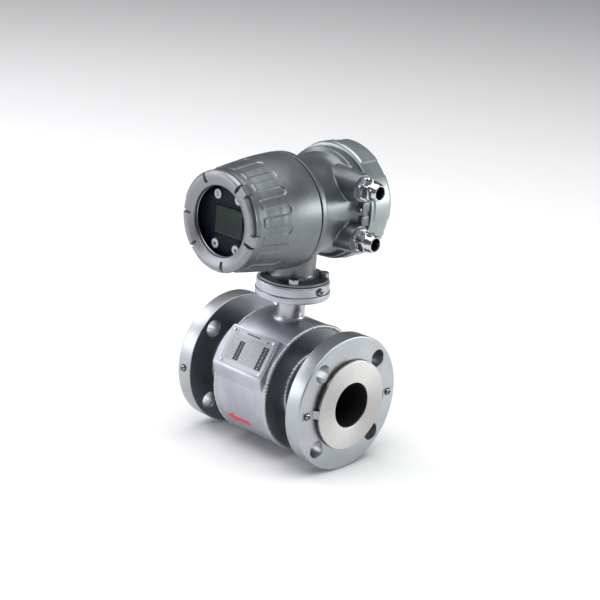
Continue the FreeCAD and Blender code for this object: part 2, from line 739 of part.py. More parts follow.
def converter_housing():
    body = new_body("converter_housing", HEAD)
    front = "collar_face - spigot_long"
    back = "rear_ring_back + rear_spigot_long"
    turned(body, "y", [
        (front, "0"), (front, "spigot_radius"), ("collar_face", "spigot_radius"),
        ("collar_face", "collar_size"), ("collar_back", "collar_size"),
        ("collar_back + 3", "body_radius"), ("flare_start", "body_radius"),
        ("rear_ring_front", "rear_ring - 1.5"), ("rear_ring_front", "rear_ring"),
        ("rear_ring_back", "rear_ring"), ("rear_ring_back", "spigot_radius"),
        (back, "spigot_radius"), (back, "0")])
    foot = "pedestal_top + seal_thick - head_high"
    turned(body, "z", [
        (foot, "0"), (foot, "foot_radius"), (foot + " + foot_high", "foot_radius"),
        (foot + " + foot_high", "cast_neck + 3"), (foot + " + foot_high + 3", "cast_neck"),
        ("-45", "cast_neck"), ("-45", "0")])
    for high in GLANDS.values():
        boss = rings(new_sketch(body, "YZ_Plane", "gland_far"), [("gland_along", high, "boss_end")])
        padded(body, boss, "boss_long", back=True, taper="boss_taper")
    lug = draw(new_sketch(body, "XZ_Plane", "-rear_ring_back"), box_points(
        "50", "lug_reach", "gland_rise - 7", "gland_rise + 13"))
    padded(body, lug, "lug_side")
    turned(body, "y", [(front, "0"), (front, "chamber_radius"), ("wall_front", "chamber_radius"),
                       ("wall_front", "0")], cut=True)
    turned(body, "y", [("wall_rear", "0"), ("wall_rear", "rear_chamber"), (back, "rear_chamber"),
                       (back, "0")], cut=True)
    way = rings(new_sketch(body, "XY_Plane", foot), [("0", "0", "cable_way")])
    pocket(body, way, "45", back=True)
    for high in GLANDS.values():
        bore = rings(new_sketch(body, "YZ_Plane", "gland_far"), [("gland_along", high, "gland_thread")])
        pocket(body, bore, "gland_far - 20")
    off = "foot_circle / 2 * cos(45)"
    hole = rings(new_sketch(body, "XY_Plane", foot + " + foot_high + 4"), [(off, off, "foot_hole")])
    cut = pocket(body, hole, "foot_high + 6")
    repeat(body, [cut], "Z", "4")


def front_cover():
    body = new_body("front_cover", HEAD)
    mouth = "collar_face - cover_gap"
    bore = "spigot_radius + thread_play"
    seat = "glass_front + glass_thick"
    low = "grip_front - grip_depth"
    turned(body, "y", [
        ("bezel_lip", "window_radius"), ("bezel_face", "bezel_flat"), ("bezel_face", "bezel_radius - 1"),
        ("bezel_face + 1", "bezel_radius"), ("shoulder_face", "shoulder_radius"), ("land_front", low),
        ("land_front", "grip_front"), ("cover_waist", "waist_radius"), (mouth, "cover_radius"),
        (mouth, "ring_mid + ring_cord + 0.1"),
        (mouth + " - 3", "ring_mid + ring_cord + 0.1"), (mouth + " - 3", bore),
        (mouth + " - spigot_long - 2", bore), (mouth + " - spigot_long - 2", "cover_inner"),
        (seat + " + retainer_thick", "cover_inner"),
        (seat + " + retainer_thick", "retainer_outer + thread_play"),
        (seat, "retainer_outer + thread_play"), (seat, "glass_radius + fit_gap"),
        ("glass_front - gasket_thick", "glass_radius + fit_gap"),
        ("glass_front - gasket_thick", "window_radius")])
    finger(body)
    bezel_notches(body)


def finger(body):
    """One grip recess with a round end, floor parallel to the drafted wall, then the ring of them."""
    slope = "atan((waist_radius - grip_front) / (cover_waist - land_front))"
    half = "grip_width / 2"
    sketch = new_sketch(body, "YZ_Plane")
    sketch.AttachmentOffset = FreeCAD.Placement(V(0, 0, 0), FreeCAD.Rotation(V(0, 1, 0), -2))
    tie(sketch, "AttachmentOffset.Base.x", "land_front")
    tie(sketch, "AttachmentOffset.Base.z", "grip_front - grip_depth")
    tie(sketch, "AttachmentOffset.Rotation.Angle", slope)
    reach = "(grip_end - land_front)"
    draw(sketch, [("-12", "-" + half), (reach + " - " + half, "-" + half),
                  (reach + " - " + half, half), ("-12", half)], {1: (reach, "0")})
    cut = pocket(body, sketch, "8", back=True)
    repeat(body, [cut], "Y", "grip_count")


NOTCHES = (56.6, 117.8, 179.4, 223.5, 282.7, 343.6)
RIMS = ((20, 48), (143.5, 39), (256, 40))


def bezel_notches(body):
    """Radial slots across the bezel and the lower rim between its lugs."""
    for angle in NOTCHES:
        sketch = draw(new_sketch(body, "XZ_Plane", "-bezel_face", ((0, 0, 1), angle)), box_points(
            "notch_inner", "66", "-notch_width / 2", "notch_width / 2"))
        pocket(body, sketch, "notch_depth")
    for middle, span in RIMS:
        turned(body, "y", [
            ("bezel_face - 1", "lug_rim"), ("bezel_face - 1", "70"), ("bezel_face + lug_depth", "70"),
            ("bezel_face + lug_depth", "lug_rim")], cut=True, angle=span, lean=((0, 1, 0), -middle))


def plain_turn(name, axis, profile, base=HEAD):
    body = new_body(name, base)
    turned(body, axis, profile)
    return body


def cover_seal(name, along):
    body = new_body(name, HEAD)
    turned(body, "y", [
        ("%s + ring_cord * cos(%d)" % (along, angle), "ring_mid + ring_cord * sin(%d)" % angle)
        for angle in range(30, 390, 60)])


def window():
    front = "glass_front"
    back = "glass_front + glass_thick"
    body = plain_turn("window_glass", "y", [(front, "0"), (front, "glass_radius"),
                                            (back, "glass_radius"), (back, "0")])
    soften(body, "0.4", round_edge("y", front, "glass_radius"))
    plain_turn("window_gasket", "y", [
        (front + " - gasket_thick", "window_radius + 0.8"), (front, "window_radius + 0.8"),
        (front, "glass_radius"), (front + " - gasket_thick", "glass_radius")])
    body = plain_turn("retaining_ring", "y", [
        (back, "retainer_inner"), (back + " + retainer_thick", "retainer_inner"),
        (back + " + retainer_thick", "retainer_outer"), (back, "retainer_outer")])
    slot = draw(new_sketch(body, "XZ_Plane", "-(glass_front + glass_thick + retainer_thick)"),
                box_points("-1.5", "1.5", "-60", "60"))
    pocket(body, slot, "1.5", back=True)


def rear_cover():
    body = new_body("rear_cover", HEAD)
    mouth = "rear_ring_back + cover_gap"
    bore = "spigot_radius + thread_play"
    deep = "rear_ring_back + rear_spigot_long + 2"
    turned(body, "y", [
        (mouth, "ring_mid + ring_cord + 0.1"), (mouth, "rear_radius"), ("rear_end", "rear_radius"),
        ("rear_end", "0"), ("rear_end - rear_skin", "0"), ("rear_end - rear_skin", "cover_inner"),
        (deep, "cover_inner"), (deep, bore), (mouth + " + 3", bore),
        (mouth + " + 3", "ring_mid + ring_cord + 0.1")])
    soften(body, "rear_round", round_edge("y", "rear_end", "rear_radius"))
    pad = turned(body, "y", [
        (mouth + " + 4", "rear_radius - 1"), (mouth + " + 4", "rear_radius + pad_rise"),
        ("rear_end - rear_round - 1", "rear_radius + pad_rise"),
        ("rear_end - rear_round - 1", "rear_radius - 1")], angle=16)
    repeat(body, [pad], "Y", "6")


# ---------------------------------------------------------------- display module

KEYS = {"key_up_left": ("-key_side", "key_up"), "key_up_right": ("key_side", "key_up"),
        "key_down_left": ("-key_side", "-key_down"), "key_down_right": ("key_side", "-key_down")}


def electronics_case():
    plain_turn("electronics_case", "y", [
        ("case_front", "panel_radius + 1.5"), ("case_front", "case_radius"),
        ("case_back", "case_radius"), ("case_back", "0"), ("case_back - 2", "0"),
        ("case_back - 2", "35"), ("-60", "35"), ("-60", "37.5"),
        ("board_front + board_thick", "37.5"), ("board_front + board_thick", "panel_radius + 1.5")])
    plain_turn("display_board", "y", [
        ("board_front", "0"), ("board_front", "panel_radius + 1.2"),
        ("board_front + board_thick", "panel_radius + 1.2"), ("board_front + board_thick", "0")])
    plain_turn("power_board", "y", [
        ("-60 - board_thick", "0"), ("-60 - board_thick", "37"), ("-60", "37"), ("-60", "0")])
    posts = []
    for index in range(3):
        angle = 90 + 120 * index
        posts.append(cylinder("post_%d" % index, "3.5", "wall_front - case_back", (
            "30 * cos(%d)" % angle, "case_back", "head_high + 30 * sin(%d)" % angle), ALONG["+y"]))
    group("case_posts", posts)


def display_panel():
    body = new_body("display_panel", HEAD)
    back = "panel_front + panel_thick"
    turned(body, "y", [
        ("panel_front", "0"), ("panel_front", "panel_radius"), (back + " - 0.6", "panel_radius"),
        (back + " - 0.6", "case_radius - 0.5"), ("case_front", "case_radius - 0.5"),
        ("case_front", "panel_radius + 1.5"), (back, "panel_radius + 1.5"), (back, "0")])
    screen = draw(new_sketch(body, "XZ_Plane", "-panel_front"), box_points(
        "screen_off - screen_wide / 2", "screen_off + screen_wide / 2",
        "screen_low - screen_high / 2", "screen_low + screen_high / 2"))
    pocket(body, screen, "panel_thick + 1")
    holes = rings(new_sketch(body, "XZ_Plane", "-panel_front"), [
        (across, up, "key_radius + key_play") for across, up in KEYS.values()])
    pocket(body, holes, "panel_thick + 1")


def screen_module():
    body = new_body("screen_module", HEAD)
    sketch = draw(new_sketch(body, "XZ_Plane", "-panel_front - 0.3"), box_points(
        "screen_off - screen_wide / 2 + screen_play", "screen_off + screen_wide / 2 - screen_play",
        "screen_low - screen_high / 2 + screen_play", "screen_low + screen_high / 2 - screen_play"))
    padded(body, sketch, "board_front - panel_front - 0.3", back=True)


def display_keys():
    for name, (across, up) in KEYS.items():
        body = new_body(name, (across, "0", "head_high + (%s)" % up))
        flange_at = "panel_front + panel_thick + 0.1"
        turned(body, "y", [
            ("panel_front - key_proud", "0"), ("panel_front - key_proud", "key_radius"),
            (flange_at, "key_radius"), (flange_at, "key_radius + 1.2"),
            (flange_at + " + 1", "key_radius + 1.2"), (flange_at + " + 1", "1.8"),
            ("board_front - 2", "1.8"), ("board_front - 2", "0")])
        soften(body, "0.6", round_edge("y", "panel_front - key_proud", "key_radius"))
    switches = []
    for index, (across, up) in enumerate(KEYS.values()):
        switches.append(block("switch_%d" % index, "6", "1", "6", (
            across + " - 3", "board_front - 1", "head_high + (%s) - 3" % up)))
    group("key_switches", switches)


def terminal_block():
    body = new_body("terminal_block", HEAD)
    sketch = draw(new_sketch(body, "XZ_Plane", "-wall_rear"), box_points("-31", "29", "-5", "13"))
    padded(body, sketch, "20", back=True)
    holes = rings(new_sketch(body, "XZ_Plane", "-wall_rear - 20"), [
        (str(-26 + 7.2 * index), "4", "2.2") for index in range(8)])
    pocket(body, holes, "6", back=True)


# ---------------------------------------------------------------- cable glands

def gland(which):
    high = GLANDS[which]
    base = ("0", "gland_along", "head_high + " + high)
    body = new_body("gland_body_" + which, base)
    hex_end = "gland_far + gland_hex"
    sketch = new_sketch(body, "YZ_Plane", "gland_far")
    hexagon_in(sketch)
    padded(body, sketch, "gland_hex")
    turned(body, "x", [("gland_far - 11", "0"), ("gland_neck_end", "0"),
                       ("gland_neck_end", "gland_neck"), ("gland_far", "gland_neck"),
                       ("gland_far", "gland_thread - fit_gap"),
                       ("gland_far - 11", "gland_thread - fit_gap")])
    turned(body, "x", [("gland_far - 11", "0"), ("gland_neck_end", "0"),
                       ("gland_neck_end", "gland_seat"), ("gland_neck_end - 8", "gland_seat"),
                       ("gland_neck_end - 8", "gland_bore"), ("gland_far - 11", "gland_bore")], cut=True)
    seal = new_body("gland_seal_" + which, base)
    turned(seal, "x", [("gland_neck_end - 7.8", "seal_bore"), ("gland_neck_end + 2", "seal_bore"),
                       ("gland_neck_end + 2", "gland_seat - thread_play"),
                       ("gland_neck_end - 7.8", "gland_seat - thread_play")])
    nut = new_body("gland_nut_" + which, base)
    start = hex_end + " + nut_play"
    sketch = new_sketch(nut, "YZ_Plane", start)
    hexagon_in(sketch)
    padded(nut, sketch, "nut_hex")
    turned(nut, "x", [(start, "0"), ("gland_end", "0"), ("gland_end", "gland_flats / 2 - 3"),
                      ("gland_end - 4", "gland_flats / 2 - 1"), (start + " + nut_hex", "gland_flats / 2 - 0.4"),
                      (start, "gland_flats / 2 - 0.4")])
    turned(nut, "x", [(start, "0"), ("gland_end", "0"), ("gland_end", "nut_hole"),
                      ("gland_neck_end + 2.3", "nut_hole"),
                      ("gland_neck_end + 2.3", "gland_neck + thread_play"),
                      (start, "gland_neck + thread_play")], cut=True)


def hexagon_in(sketch):
    """Hexagon across the gland's flats, a corner at the top."""
    points = []
    for index in range(6):
        angle = 90 + 60 * index
        points.append(("gland_flats / 2 / cos(30) * cos(%d)" % angle,
                       "gland_flats / 2 / cos(30) * sin(%d)" % angle))
    return draw(sketch, points)


def lock_screw():
    high = "head_high + gland_rise + 3"
    head = cylinder("lock_head", "3", "2", ("58.5", "rear_ring_back - 13 - 2", high), ALONG["+y"])
    node(head, "lock_screw")


# ---------------------------------------------------------------- build and export

def check_part(thing):
    for feature in thing.Group if thing.isDerivedFrom("PartDesign::Body") else []:
        shape = getattr(feature, "Shape", None)
        base = getattr(feature, "BaseFeature", None)
        cuts = feature.TypeId in ("PartDesign::Pocket", "PartDesign::Groove")
        if cuts and base and shape.Volume > base.Shape.Volume - 1e-3:
            raise RuntimeError("a cut removes nothing: " + feature.Label + " of " + thing.Label)


def check_all():
    for thing in DOC.Objects:
        if "Invalid" in thing.State or "Error" in thing.State:
            raise RuntimeError("not built: " + thing.Label)
        shape = getattr(thing, "Shape", None)
        if thing.isDerivedFrom("PartDesign::Body"):
            check_part(thing)
        if thing in NODES and (shape is None or shape.isNull() or not shape.isValid()):
            raise RuntimeError("bad shape: " + thing.Label)


def export():
    os.makedirs("parts", exist_ok=True)
    for thing in NODES:
        shape = thing.Shape
        kinds = len(shape.Solids)
        print("%-22s solids %d  volume %.0f" % (thing.Label, kinds, shape.Volume))
        shape.exportStep("parts/%s.step" % thing.Label)


def main():
    fill_sheet()
    away = ((0, 0, 1), 180)
    flange("inlet_flange", None)
    flange("outlet_flange", away)
    measuring_tube()
    liner()
    grounding_ring("inlet_ring", None)
    grounding_ring("outlet_ring", away)
    grounding_clips()
    coil_housing()
    end_plate("inlet_end_plate", None)
    end_plate("outlet_end_plate", away)
    over = ((1, 0, 0), 180)
    field_coil("upper_coil", None)
    field_coil("lower_coil", over)
    pole_core("upper_pole", None)
    pole_core("lower_pole", over)
    magnet_yoke()
    electrode("rear_electrode", None)
    electrode("front_electrode", away)
    insulator("rear_insulator", None)
    insulator("front_insulator", away)
    electrode_nuts()
    nameplate_bracket()
    nameplate()
    rivets()
    neck_pipe()
    neck_flange()
    adapter_ring()
    foot_gasket()
    foot_bolts()
    earth_screws()
    converter_housing()
    front_cover()
    cover_seal("front_seal", "collar_face - cover_gap - 1.6")
    window()
    rear_cover()
    cover_seal("rear_seal", "rear_ring_back + cover_gap + 1.6")
    electronics_case()
    display_panel()
    screen_module()
    display_keys()
    terminal_block()
    gland("upper")
    gland("lower")
    lock_screw()
    DOC.recompute()
    check_all()
    export()


main()
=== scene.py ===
import json
import math
import random

import bmesh
import bpy
from mathutils import Matrix, Vector


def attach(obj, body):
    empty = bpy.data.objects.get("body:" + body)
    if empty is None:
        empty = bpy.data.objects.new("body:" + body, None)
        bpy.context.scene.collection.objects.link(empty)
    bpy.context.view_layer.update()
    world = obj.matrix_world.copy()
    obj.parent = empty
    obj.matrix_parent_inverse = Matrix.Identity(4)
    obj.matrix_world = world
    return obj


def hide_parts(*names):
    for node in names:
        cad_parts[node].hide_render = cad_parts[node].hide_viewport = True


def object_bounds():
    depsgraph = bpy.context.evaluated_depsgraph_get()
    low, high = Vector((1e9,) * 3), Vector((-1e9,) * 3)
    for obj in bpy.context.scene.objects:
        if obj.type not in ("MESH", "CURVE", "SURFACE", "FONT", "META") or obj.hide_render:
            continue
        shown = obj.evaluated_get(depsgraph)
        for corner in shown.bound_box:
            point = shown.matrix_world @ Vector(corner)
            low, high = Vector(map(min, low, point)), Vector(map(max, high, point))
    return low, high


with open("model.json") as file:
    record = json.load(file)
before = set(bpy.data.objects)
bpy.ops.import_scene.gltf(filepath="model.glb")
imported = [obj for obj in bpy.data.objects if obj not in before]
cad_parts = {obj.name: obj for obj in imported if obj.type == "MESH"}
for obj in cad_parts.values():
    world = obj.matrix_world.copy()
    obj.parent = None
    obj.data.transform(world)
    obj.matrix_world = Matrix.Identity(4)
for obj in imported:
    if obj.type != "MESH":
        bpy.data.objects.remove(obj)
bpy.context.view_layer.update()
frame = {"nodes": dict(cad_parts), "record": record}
MM = 0.001
HEAD_LEVEL = 195.6

# ---- shader maths


class Value:
    """A socket that adds Math nodes through Python's operators."""

    def __init__(self, finish, socket):
        self.finish = finish
        self.socket = socket

    def math(self, operation, *others):
        return self.finish.node("Math", {"operation": operation}, [self, *others])

    def __add__(self, other):
        return self.math("ADD", other)

    def __radd__(self, other):
        return self.math("ADD", other)

    def __sub__(self, other):
        return self.math("SUBTRACT", other)

    def __rsub__(self, other):
        return self.finish.node("Math", {"operation": "SUBTRACT"}, [other, self])

    def __mul__(self, other):
        return self.math("MULTIPLY", other)

    def __truediv__(self, other):
        return self.math("DIVIDE", other)

    def __pow__(self, other):
        return self.math("POWER", other)

    def smooth(self, low, high):
        """0 below low, 1 above high, and a soft step between."""
        return self.finish.node("MapRange", {"interpolation_type": "SMOOTHSTEP"},
                                {"Value": self, "From Min": low, "From Max": high})


class Finish:
    """A procedural material under construction."""

    def __init__(self, name, view_colour):
        self.material = bpy.data.materials.new(name)
        self.material.use_nodes = True
        self.material.diffuse_color = (*view_colour, 1)
        self.tree = self.material.node_tree
        self.tree.nodes.clear()
        self.output = self.tree.nodes.new("ShaderNodeOutputMaterial")
        self.place = None

    def node(self, kind, settings=None, values=None, out=0):
        """Adds a node with its settings and its values or links; returns one output."""
        node = self.tree.nodes.new("ShaderNode" + kind)
        for key, setting in (settings or {}).items():
            setattr(node, key, setting)
        pairs = values.items() if isinstance(values, dict) else enumerate(values or [])
        for key, value in pairs:
            self.feed(node.inputs[key], value)
        return Value(self, node.outputs[out])

    def feed(self, socket, value):
        """Links a value to a socket, or sets the socket to a number or a colour."""
        if isinstance(value, Value):
            self.tree.links.new(value.socket, socket)
        elif isinstance(value, (tuple, list)) and len(value) == 3 and len(socket.default_value) == 4:
            socket.default_value = (*value, 1)
        else:
            socket.default_value = value

    def spot(self):
        """The place on the piece, in its own coordinates."""
        if self.place is None:
            self.place = self.node("TexCoord", out="Object")
        return self.place

    def axes(self):
        """The three coordinates as values, in metres."""
        outs = self.node("SeparateXYZ", None, [self.spot()]).socket.node.outputs
        return [Value(self, outs[index]) for index in range(3)]

    def noise(self, size, detail, place=None, stretch=None):
        """Noise with features of about size millimetres."""
        place = place or self.spot()
        if stretch:
            place = self.node("Mapping", None, {"Vector": place, "Scale": stretch})
        return self.node("TexNoise", None, {"Vector": place, "Scale": 1 / (size * MM),
                                            "Detail": detail, "Roughness": 0.55})

    def mix(self, factor, low, high):
        """Blends two colours."""
        return self.node("Mix", {"data_type": "RGBA"}, {0: factor, 6: low, 7: high}, out=2)

    def bump(self, height, distance, strength):
        """Surface relief up to distance millimetres high."""
        return self.node("Bump", None, {"Height": height, "Distance": distance * MM, "Strength": strength})

    def principled(self, **values):
        """Adds the surface shader and returns the material."""
        names = {"colour": "Base Color", "rough": "Roughness", "metal": "Metallic", "normal": "Normal",
                 "coat": "Coat Weight", "coat_rough": "Coat Roughness", "specular": "Specular IOR Level",
                 "see": "Transmission Weight", "ior": "IOR"}
        shader = self.node("BsdfPrincipled", None, {names[key]: item for key, item in values.items()})
        self.tree.links.new(shader.socket, self.output.inputs["Surface"])
        return self.material


# ---- finishes


def tinted(colour, share):
    """A colour made darker or lighter by a share."""
    return tuple(min(1.0, part * share) for part in colour)


def head_paint(name, colour):
    """Metallic paint on a die casting: faint orange peel, fine flakes, and painted light that makes the
    bezel front paler, as it faces the lamps.
    """
    finish = Finish(name, colour)
    cloud = finish.noise(38, 2)
    flake = finish.node("TexVoronoi", None, {"Vector": finish.spot(), "Scale": 1 / (0.7 * MM)}, out="Color")
    grain = finish.node("SeparateXYZ", None, [flake])
    peel = finish.noise(1.6, 3)
    base = finish.mix(cloud.smooth(0.35, 0.65), tinted(colour, 0.9), tinted(colour, 1.16))
    # Painted light: in front of -112 mm the bezel's face is blended towards a pale lavender grey, as it
    # faces the lamps.
    front = (finish.axes()[1] / MM).smooth(-112, -117)
    base = finish.mix(front * 0.42, base, (0.36, 0.36, 0.39))
    base = finish.mix(grain * 0.07, base, (0.65, 0.68, 0.68))
    return finish.principled(colour=base, rough=0.34 + cloud * 0.07 + grain * 0.05, metal=0.85,
                             coat=0.06, coat_rough=0.2, normal=finish.bump(peel, 0.035, 0.45))


def blasted_steel(name, colour=(0.44, 0.455, 0.50)):
    """Bead-blasted stainless steel with soft cloudiness."""
    finish = Finish(name, colour)
    cloud = finish.noise(30, 3)
    bead = finish.noise(0.45, 2)
    base = finish.mix(cloud.smooth(0.3, 0.7), tinted(colour, 0.88), tinted(colour, 1.08))
    return finish.principled(colour=base, rough=0.34 + cloud * 0.08 + bead * 0.06, metal=1.0,
                             normal=finish.bump(bead, 0.05, 0.5))


def turned_steel(name, colour):
    """Lathe-turned steel: fine rings about the pipe axis."""
    finish = Finish(name, colour)
    _, across, high = finish.axes()
    radius = (across * across + high * high) ** 0.5
    wobble = finish.noise(9, 2)
    rings = (radius * (2 * math.pi / (0.8 * MM)) + wobble * 1.4).math("SINE")
    cloud = finish.noise(45, 3)
    base = finish.mix(cloud.smooth(0.3, 0.7), tinted(colour, 0.9), tinted(colour, 1.06))
    return finish.principled(colour=base, rough=0.34 + cloud * 0.08, metal=1.0,
                             normal=finish.bump(rings, 0.02, 0.5))


def plain_metal(name, colour, rough, grain=0.5):
    """Plain metal with a fine grain and a soft cloudiness."""
    finish = Finish(name, colour)
    speck = finish.noise(grain, 2)
    cloud = finish.noise(12, 2)
    base = finish.mix(cloud, tinted(colour, 0.86), tinted(colour, 1.1))
    return finish.principled(colour=base, rough=rough - 0.05 + cloud * 0.1, metal=1.0,
                             normal=finish.bump(speck, 0.02, 0.35))


def moulded(name, colour, rough, grain=0.6):
    """Moulded plastic or rubber with a fine grain."""
    finish = Finish(name, colour)
    speck = finish.noise(grain, 2)
    cloud = finish.noise(20, 2)
    base = finish.mix(cloud, tinted(colour, 0.85), tinted(colour, 1.12))
    return finish.principled(colour=base, rough=rough - 0.05 + speck * 0.1,
                             normal=finish.bump(speck, 0.03, 0.4))


def clear_glass(name):
    """Coated window glass with a barely visible smear."""
    finish = Finish(name, (0.9, 0.95, 0.95))
    smear = finish.noise(25, 2)
    return finish.principled(colour=(0.93, 0.95, 0.96), rough=smear * 0.01, see=1.0, ior=1.05)


def span(value, low, high, soft=0.12):
    """1 between two values and 0 outside them."""
    return value.smooth(low - soft, low + soft) - value.smooth(high - soft, high + soft)


def screen_place(finish):
    """Distances across and up from the middle of the screen, in millimetres."""
    across, _, high = finish.axes()
    return across / MM - 1.0, high / MM - HEAD_LEVEL + 1.7


def panel_print(name):
    """Front sheet of the display: dark blue-black, with a frame round the screen painted darker as the
    shade of its recess.
    """
    finish = Finish(name, (0.01, 0.012, 0.03))
    left, up = screen_place(finish)
    radius = ((left + 1.0) ** 2.0 + up * up) ** 0.5
    # Painted shade: a darker rectangle round the screen, for the shade of its recess.
    recess_shade_frame = span(left, -22.6, 22.6) * span(up, -17.2, 17.0)
    ring = span(radius, 38.2, 38.9)
    cloud = finish.noise(15, 2)
    base = finish.mix(cloud, (0.007, 0.008, 0.018), (0.010, 0.011, 0.024))
    base = finish.mix(recess_shade_frame, base, (0.0025, 0.003, 0.006))
    base = finish.mix(ring * 0.6, base, (0.05, 0.05, 0.07))
    return finish.principled(colour=base, rough=0.22 + cloud * 0.08, specular=0.08,
                             normal=finish.bump(finish.noise(0.8, 2), 0.01, 0.2))


def screen_print(name):
    """Unlit liquid-crystal screen: green-grey, with painted shade round its edge and towards its lower
    left, a painted highlight along its lower edge, and a faint dot grid.
    """
    finish = Finish(name, (0.04, 0.055, 0.05))
    left, up = screen_place(finish)
    # Painted shade: round the liquid crystal, on the screen's rim, the colour is nearly black, as the shade
    # of its recess; inside, it is painted darker towards the lower left.
    inside = span(left, -18.9, 19.9, 0.3) * span(up, -14.1, 13.3, 0.3)
    painted_shade_ramp = (left + up * 0.6) / 60 + 0.5
    pitch = 2 * math.pi / 0.55
    dots = (left * pitch).math("SINE") * (up * pitch).math("SINE")
    cloud = finish.noise(14, 2)
    base = finish.mix(painted_shade_ramp, (0.014, 0.023, 0.021), (0.030, 0.043, 0.036))
    base = finish.mix(dots * 0.06 + cloud * 0.06, base, (0.05, 0.065, 0.06))
    base = finish.mix(inside, (0.004, 0.005, 0.008), base)
    # Painted highlight: a warm pale line along the lower edge of the liquid crystal.
    painted_highlight_lip = span(up, -14.9, -14.3, 0.1) * span(left, -20, 20)
    base = finish.mix(painted_highlight_lip * 0.5, base, (0.30, 0.27, 0.24))
    return finish.principled(colour=base, rough=0.16 + cloud * 0.06, specular=0.12)


def key_print(name, across, up, kind):
    """White key, at its place from the head's axis, with a rim groove painted darker as shade and a dark
    symbol.
    """
    finish = Finish(name, (0.8, 0.8, 0.8))
    wide, _, high = finish.axes()
    left = wide / MM - across
    rise = high / MM - HEAD_LEVEL - up
    radius = (left * left + rise * rise) ** 0.5
    if kind == "ring":
        long = ((left * 1.5) ** 2.0 + rise * rise) ** 0.5
        mark = span(long, 1.5, 2.7, 0.2)
    elif kind == "dot":
        mark = 1 - radius.smooth(1.5, 1.9)
    elif kind == "right":
        mark = span(rise, -1.6, 1.6) * span(left + rise.math("ABSOLUTE"), -1.4, 1.7)
    else:
        mark = span(left, -1.8, 1.8) * span(rise - left.math("ABSOLUTE"), -2.2, 0.6)
    groove_and_painted_shade = span(radius, 4.1, 4.5, 0.15)
    cloud = finish.noise(3, 2)
    base = finish.mix(cloud, (0.80, 0.82, 0.84), (0.90, 0.91, 0.92))
    # Painted shade: the groove's colour is blended towards blue-grey.
    base = finish.mix(groove_and_painted_shade * 0.35, base, (0.35, 0.38, 0.45))
    base = finish.mix(mark, base, (0.05, 0.06, 0.09))
    base = finish.mix(radius.smooth(4.8, 5.1), base, (0.012, 0.013, 0.025))
    return finish.principled(colour=base, rough=0.32 + cloud * 0.08, specular=0.4,
                             normal=finish.bump(1 - groove_and_painted_shade, 0.08, 0.5))


def block_column(up, along, row, left, right, low, high, cell):
    """Column of dark blocks, one to a row, each with a light cell: returns how dark it is."""
    blocks = span(row, 0.02, 0.98, 0.01) * span(up, low, high) * span(along, left, right)
    near, far, bottom, top = cell
    return blocks - span(row, bottom, top, 0.05) * span(along, near, far) * span(up, low, high) * 0.7


def plate_print(name):
    """Etched nameplate: ruled lines, two columns of dark blocks with light cells, no words."""
    finish = Finish(name, (0.6, 0.61, 0.63))
    place = finish.node("UVMap", {"uv_map": "plate"})
    outs = finish.node("SeparateXYZ", None, [place]).socket.node.outputs
    along, up = Value(finish, outs[0]), Value(finish, outs[1])
    line = (up / 2.15).math("FRACT")
    rules = span(line, 0.05, 0.34, 0.05) * span(up, 5.5, 35.5) * span(along, 4, 61)
    marks = finish.noise(0.9, 2).smooth(0.50, 0.62) * span(line, 0.42, 0.78, 0.08)
    marks = marks * span(up, 5.5, 35.5) * (span(along, 6, 18) + span(along, 28, 51))
    first = block_column(up, along, (up / 4.3 + 0.28).math("FRACT"), 17.6, 25.2, 7.4, 29.4,
                         (21.0, 22.3, 0.3, 0.7))
    second = block_column(up, along, (up / 4.4 + 0.64).math("FRACT"), 51.6, 60.2, 6.0, 32.4,
                          (54.8, 56.8, 0.26, 0.74))
    title = span(up, 38.2, 39.6) * span(along, 22, 42)
    badge = span(((along - 8) ** 2.0 + (up - 37.6) ** 2.0) ** 0.5, 1.4, 2.1, 0.1)
    corner_mark = span(up, 36.6, 39.4) * span(along, 52.6, 56.2) * finish.noise(0.8, 1).smooth(0.44, 0.5)
    border = 1 - span(up, 1.0, 41.0, 0.08) * span(along, 1.0, 64.0, 0.08)
    brush = finish.noise(0.5, 3, stretch=(0.03, 1, 1))
    base = finish.mix(brush, (0.38, 0.39, 0.42), (0.48, 0.49, 0.52))
    faint = (rules * 0.6 + marks * 0.6 + badge * 0.8).math("MINIMUM", 1.0)
    base = finish.mix(faint, base, (0.10, 0.11, 0.14))
    dark = (first + second + title * 0.85 + corner_mark).math("MINIMUM", 1.0)
    base = finish.mix(dark.math("MAXIMUM", 0.0), base, (0.018, 0.020, 0.03))
    base = finish.mix(border * 0.25, base, (0.30, 0.31, 0.33))
    ink = (faint * 0.6 + dark).math("MINIMUM", 1.0)
    return finish.principled(colour=base, rough=0.42 + ink * 0.1 + brush * 0.06, metal=0.4 - ink * 0.35,
                             normal=finish.bump(ink, 0.03, 0.4))


def brushed_face(name, colour, rough):
    """Face turned on a lathe: fine rings in its relief, and a painted sheen that fans out in rays, lighter
    and darker by angle.
    """
    finish = Finish(name, colour)
    _, across, high = finish.axes()
    radius = (across * across + high * high) ** 0.5
    angle = high.math("ARCTAN2", across)
    # Painted sheen: the colour swings lighter and darker twice round the face, broken by radial streaks, as
    # a turned face's highlight would.
    painted_sheen = (angle * 2 - 2.3).math("COSINE") * 0.5 + 0.5
    turned = finish.node("CombineXYZ", None, [angle * 0.05, angle.math("SINE") * 0.02, 0.0])
    ray = finish.noise(7, 2, place=turned)
    rings = (radius * (2 * math.pi / (0.5 * MM)) + finish.noise(6, 2) * 1.5).math("SINE")
    scratch = finish.noise(0.35, 3)
    base = finish.mix(painted_sheen * 0.75 + ray * 0.35, tinted(colour, 0.66), tinted(colour, 1.2))
    base = finish.mix(scratch.smooth(0.55, 0.7) * 0.25, base, tinted(colour, 0.7))
    return finish.principled(colour=base, rough=rough + ray * 0.08 + scratch * 0.06, metal=1.0,
                             normal=finish.bump(rings + scratch, 0.012, 0.4))


# ---- scene


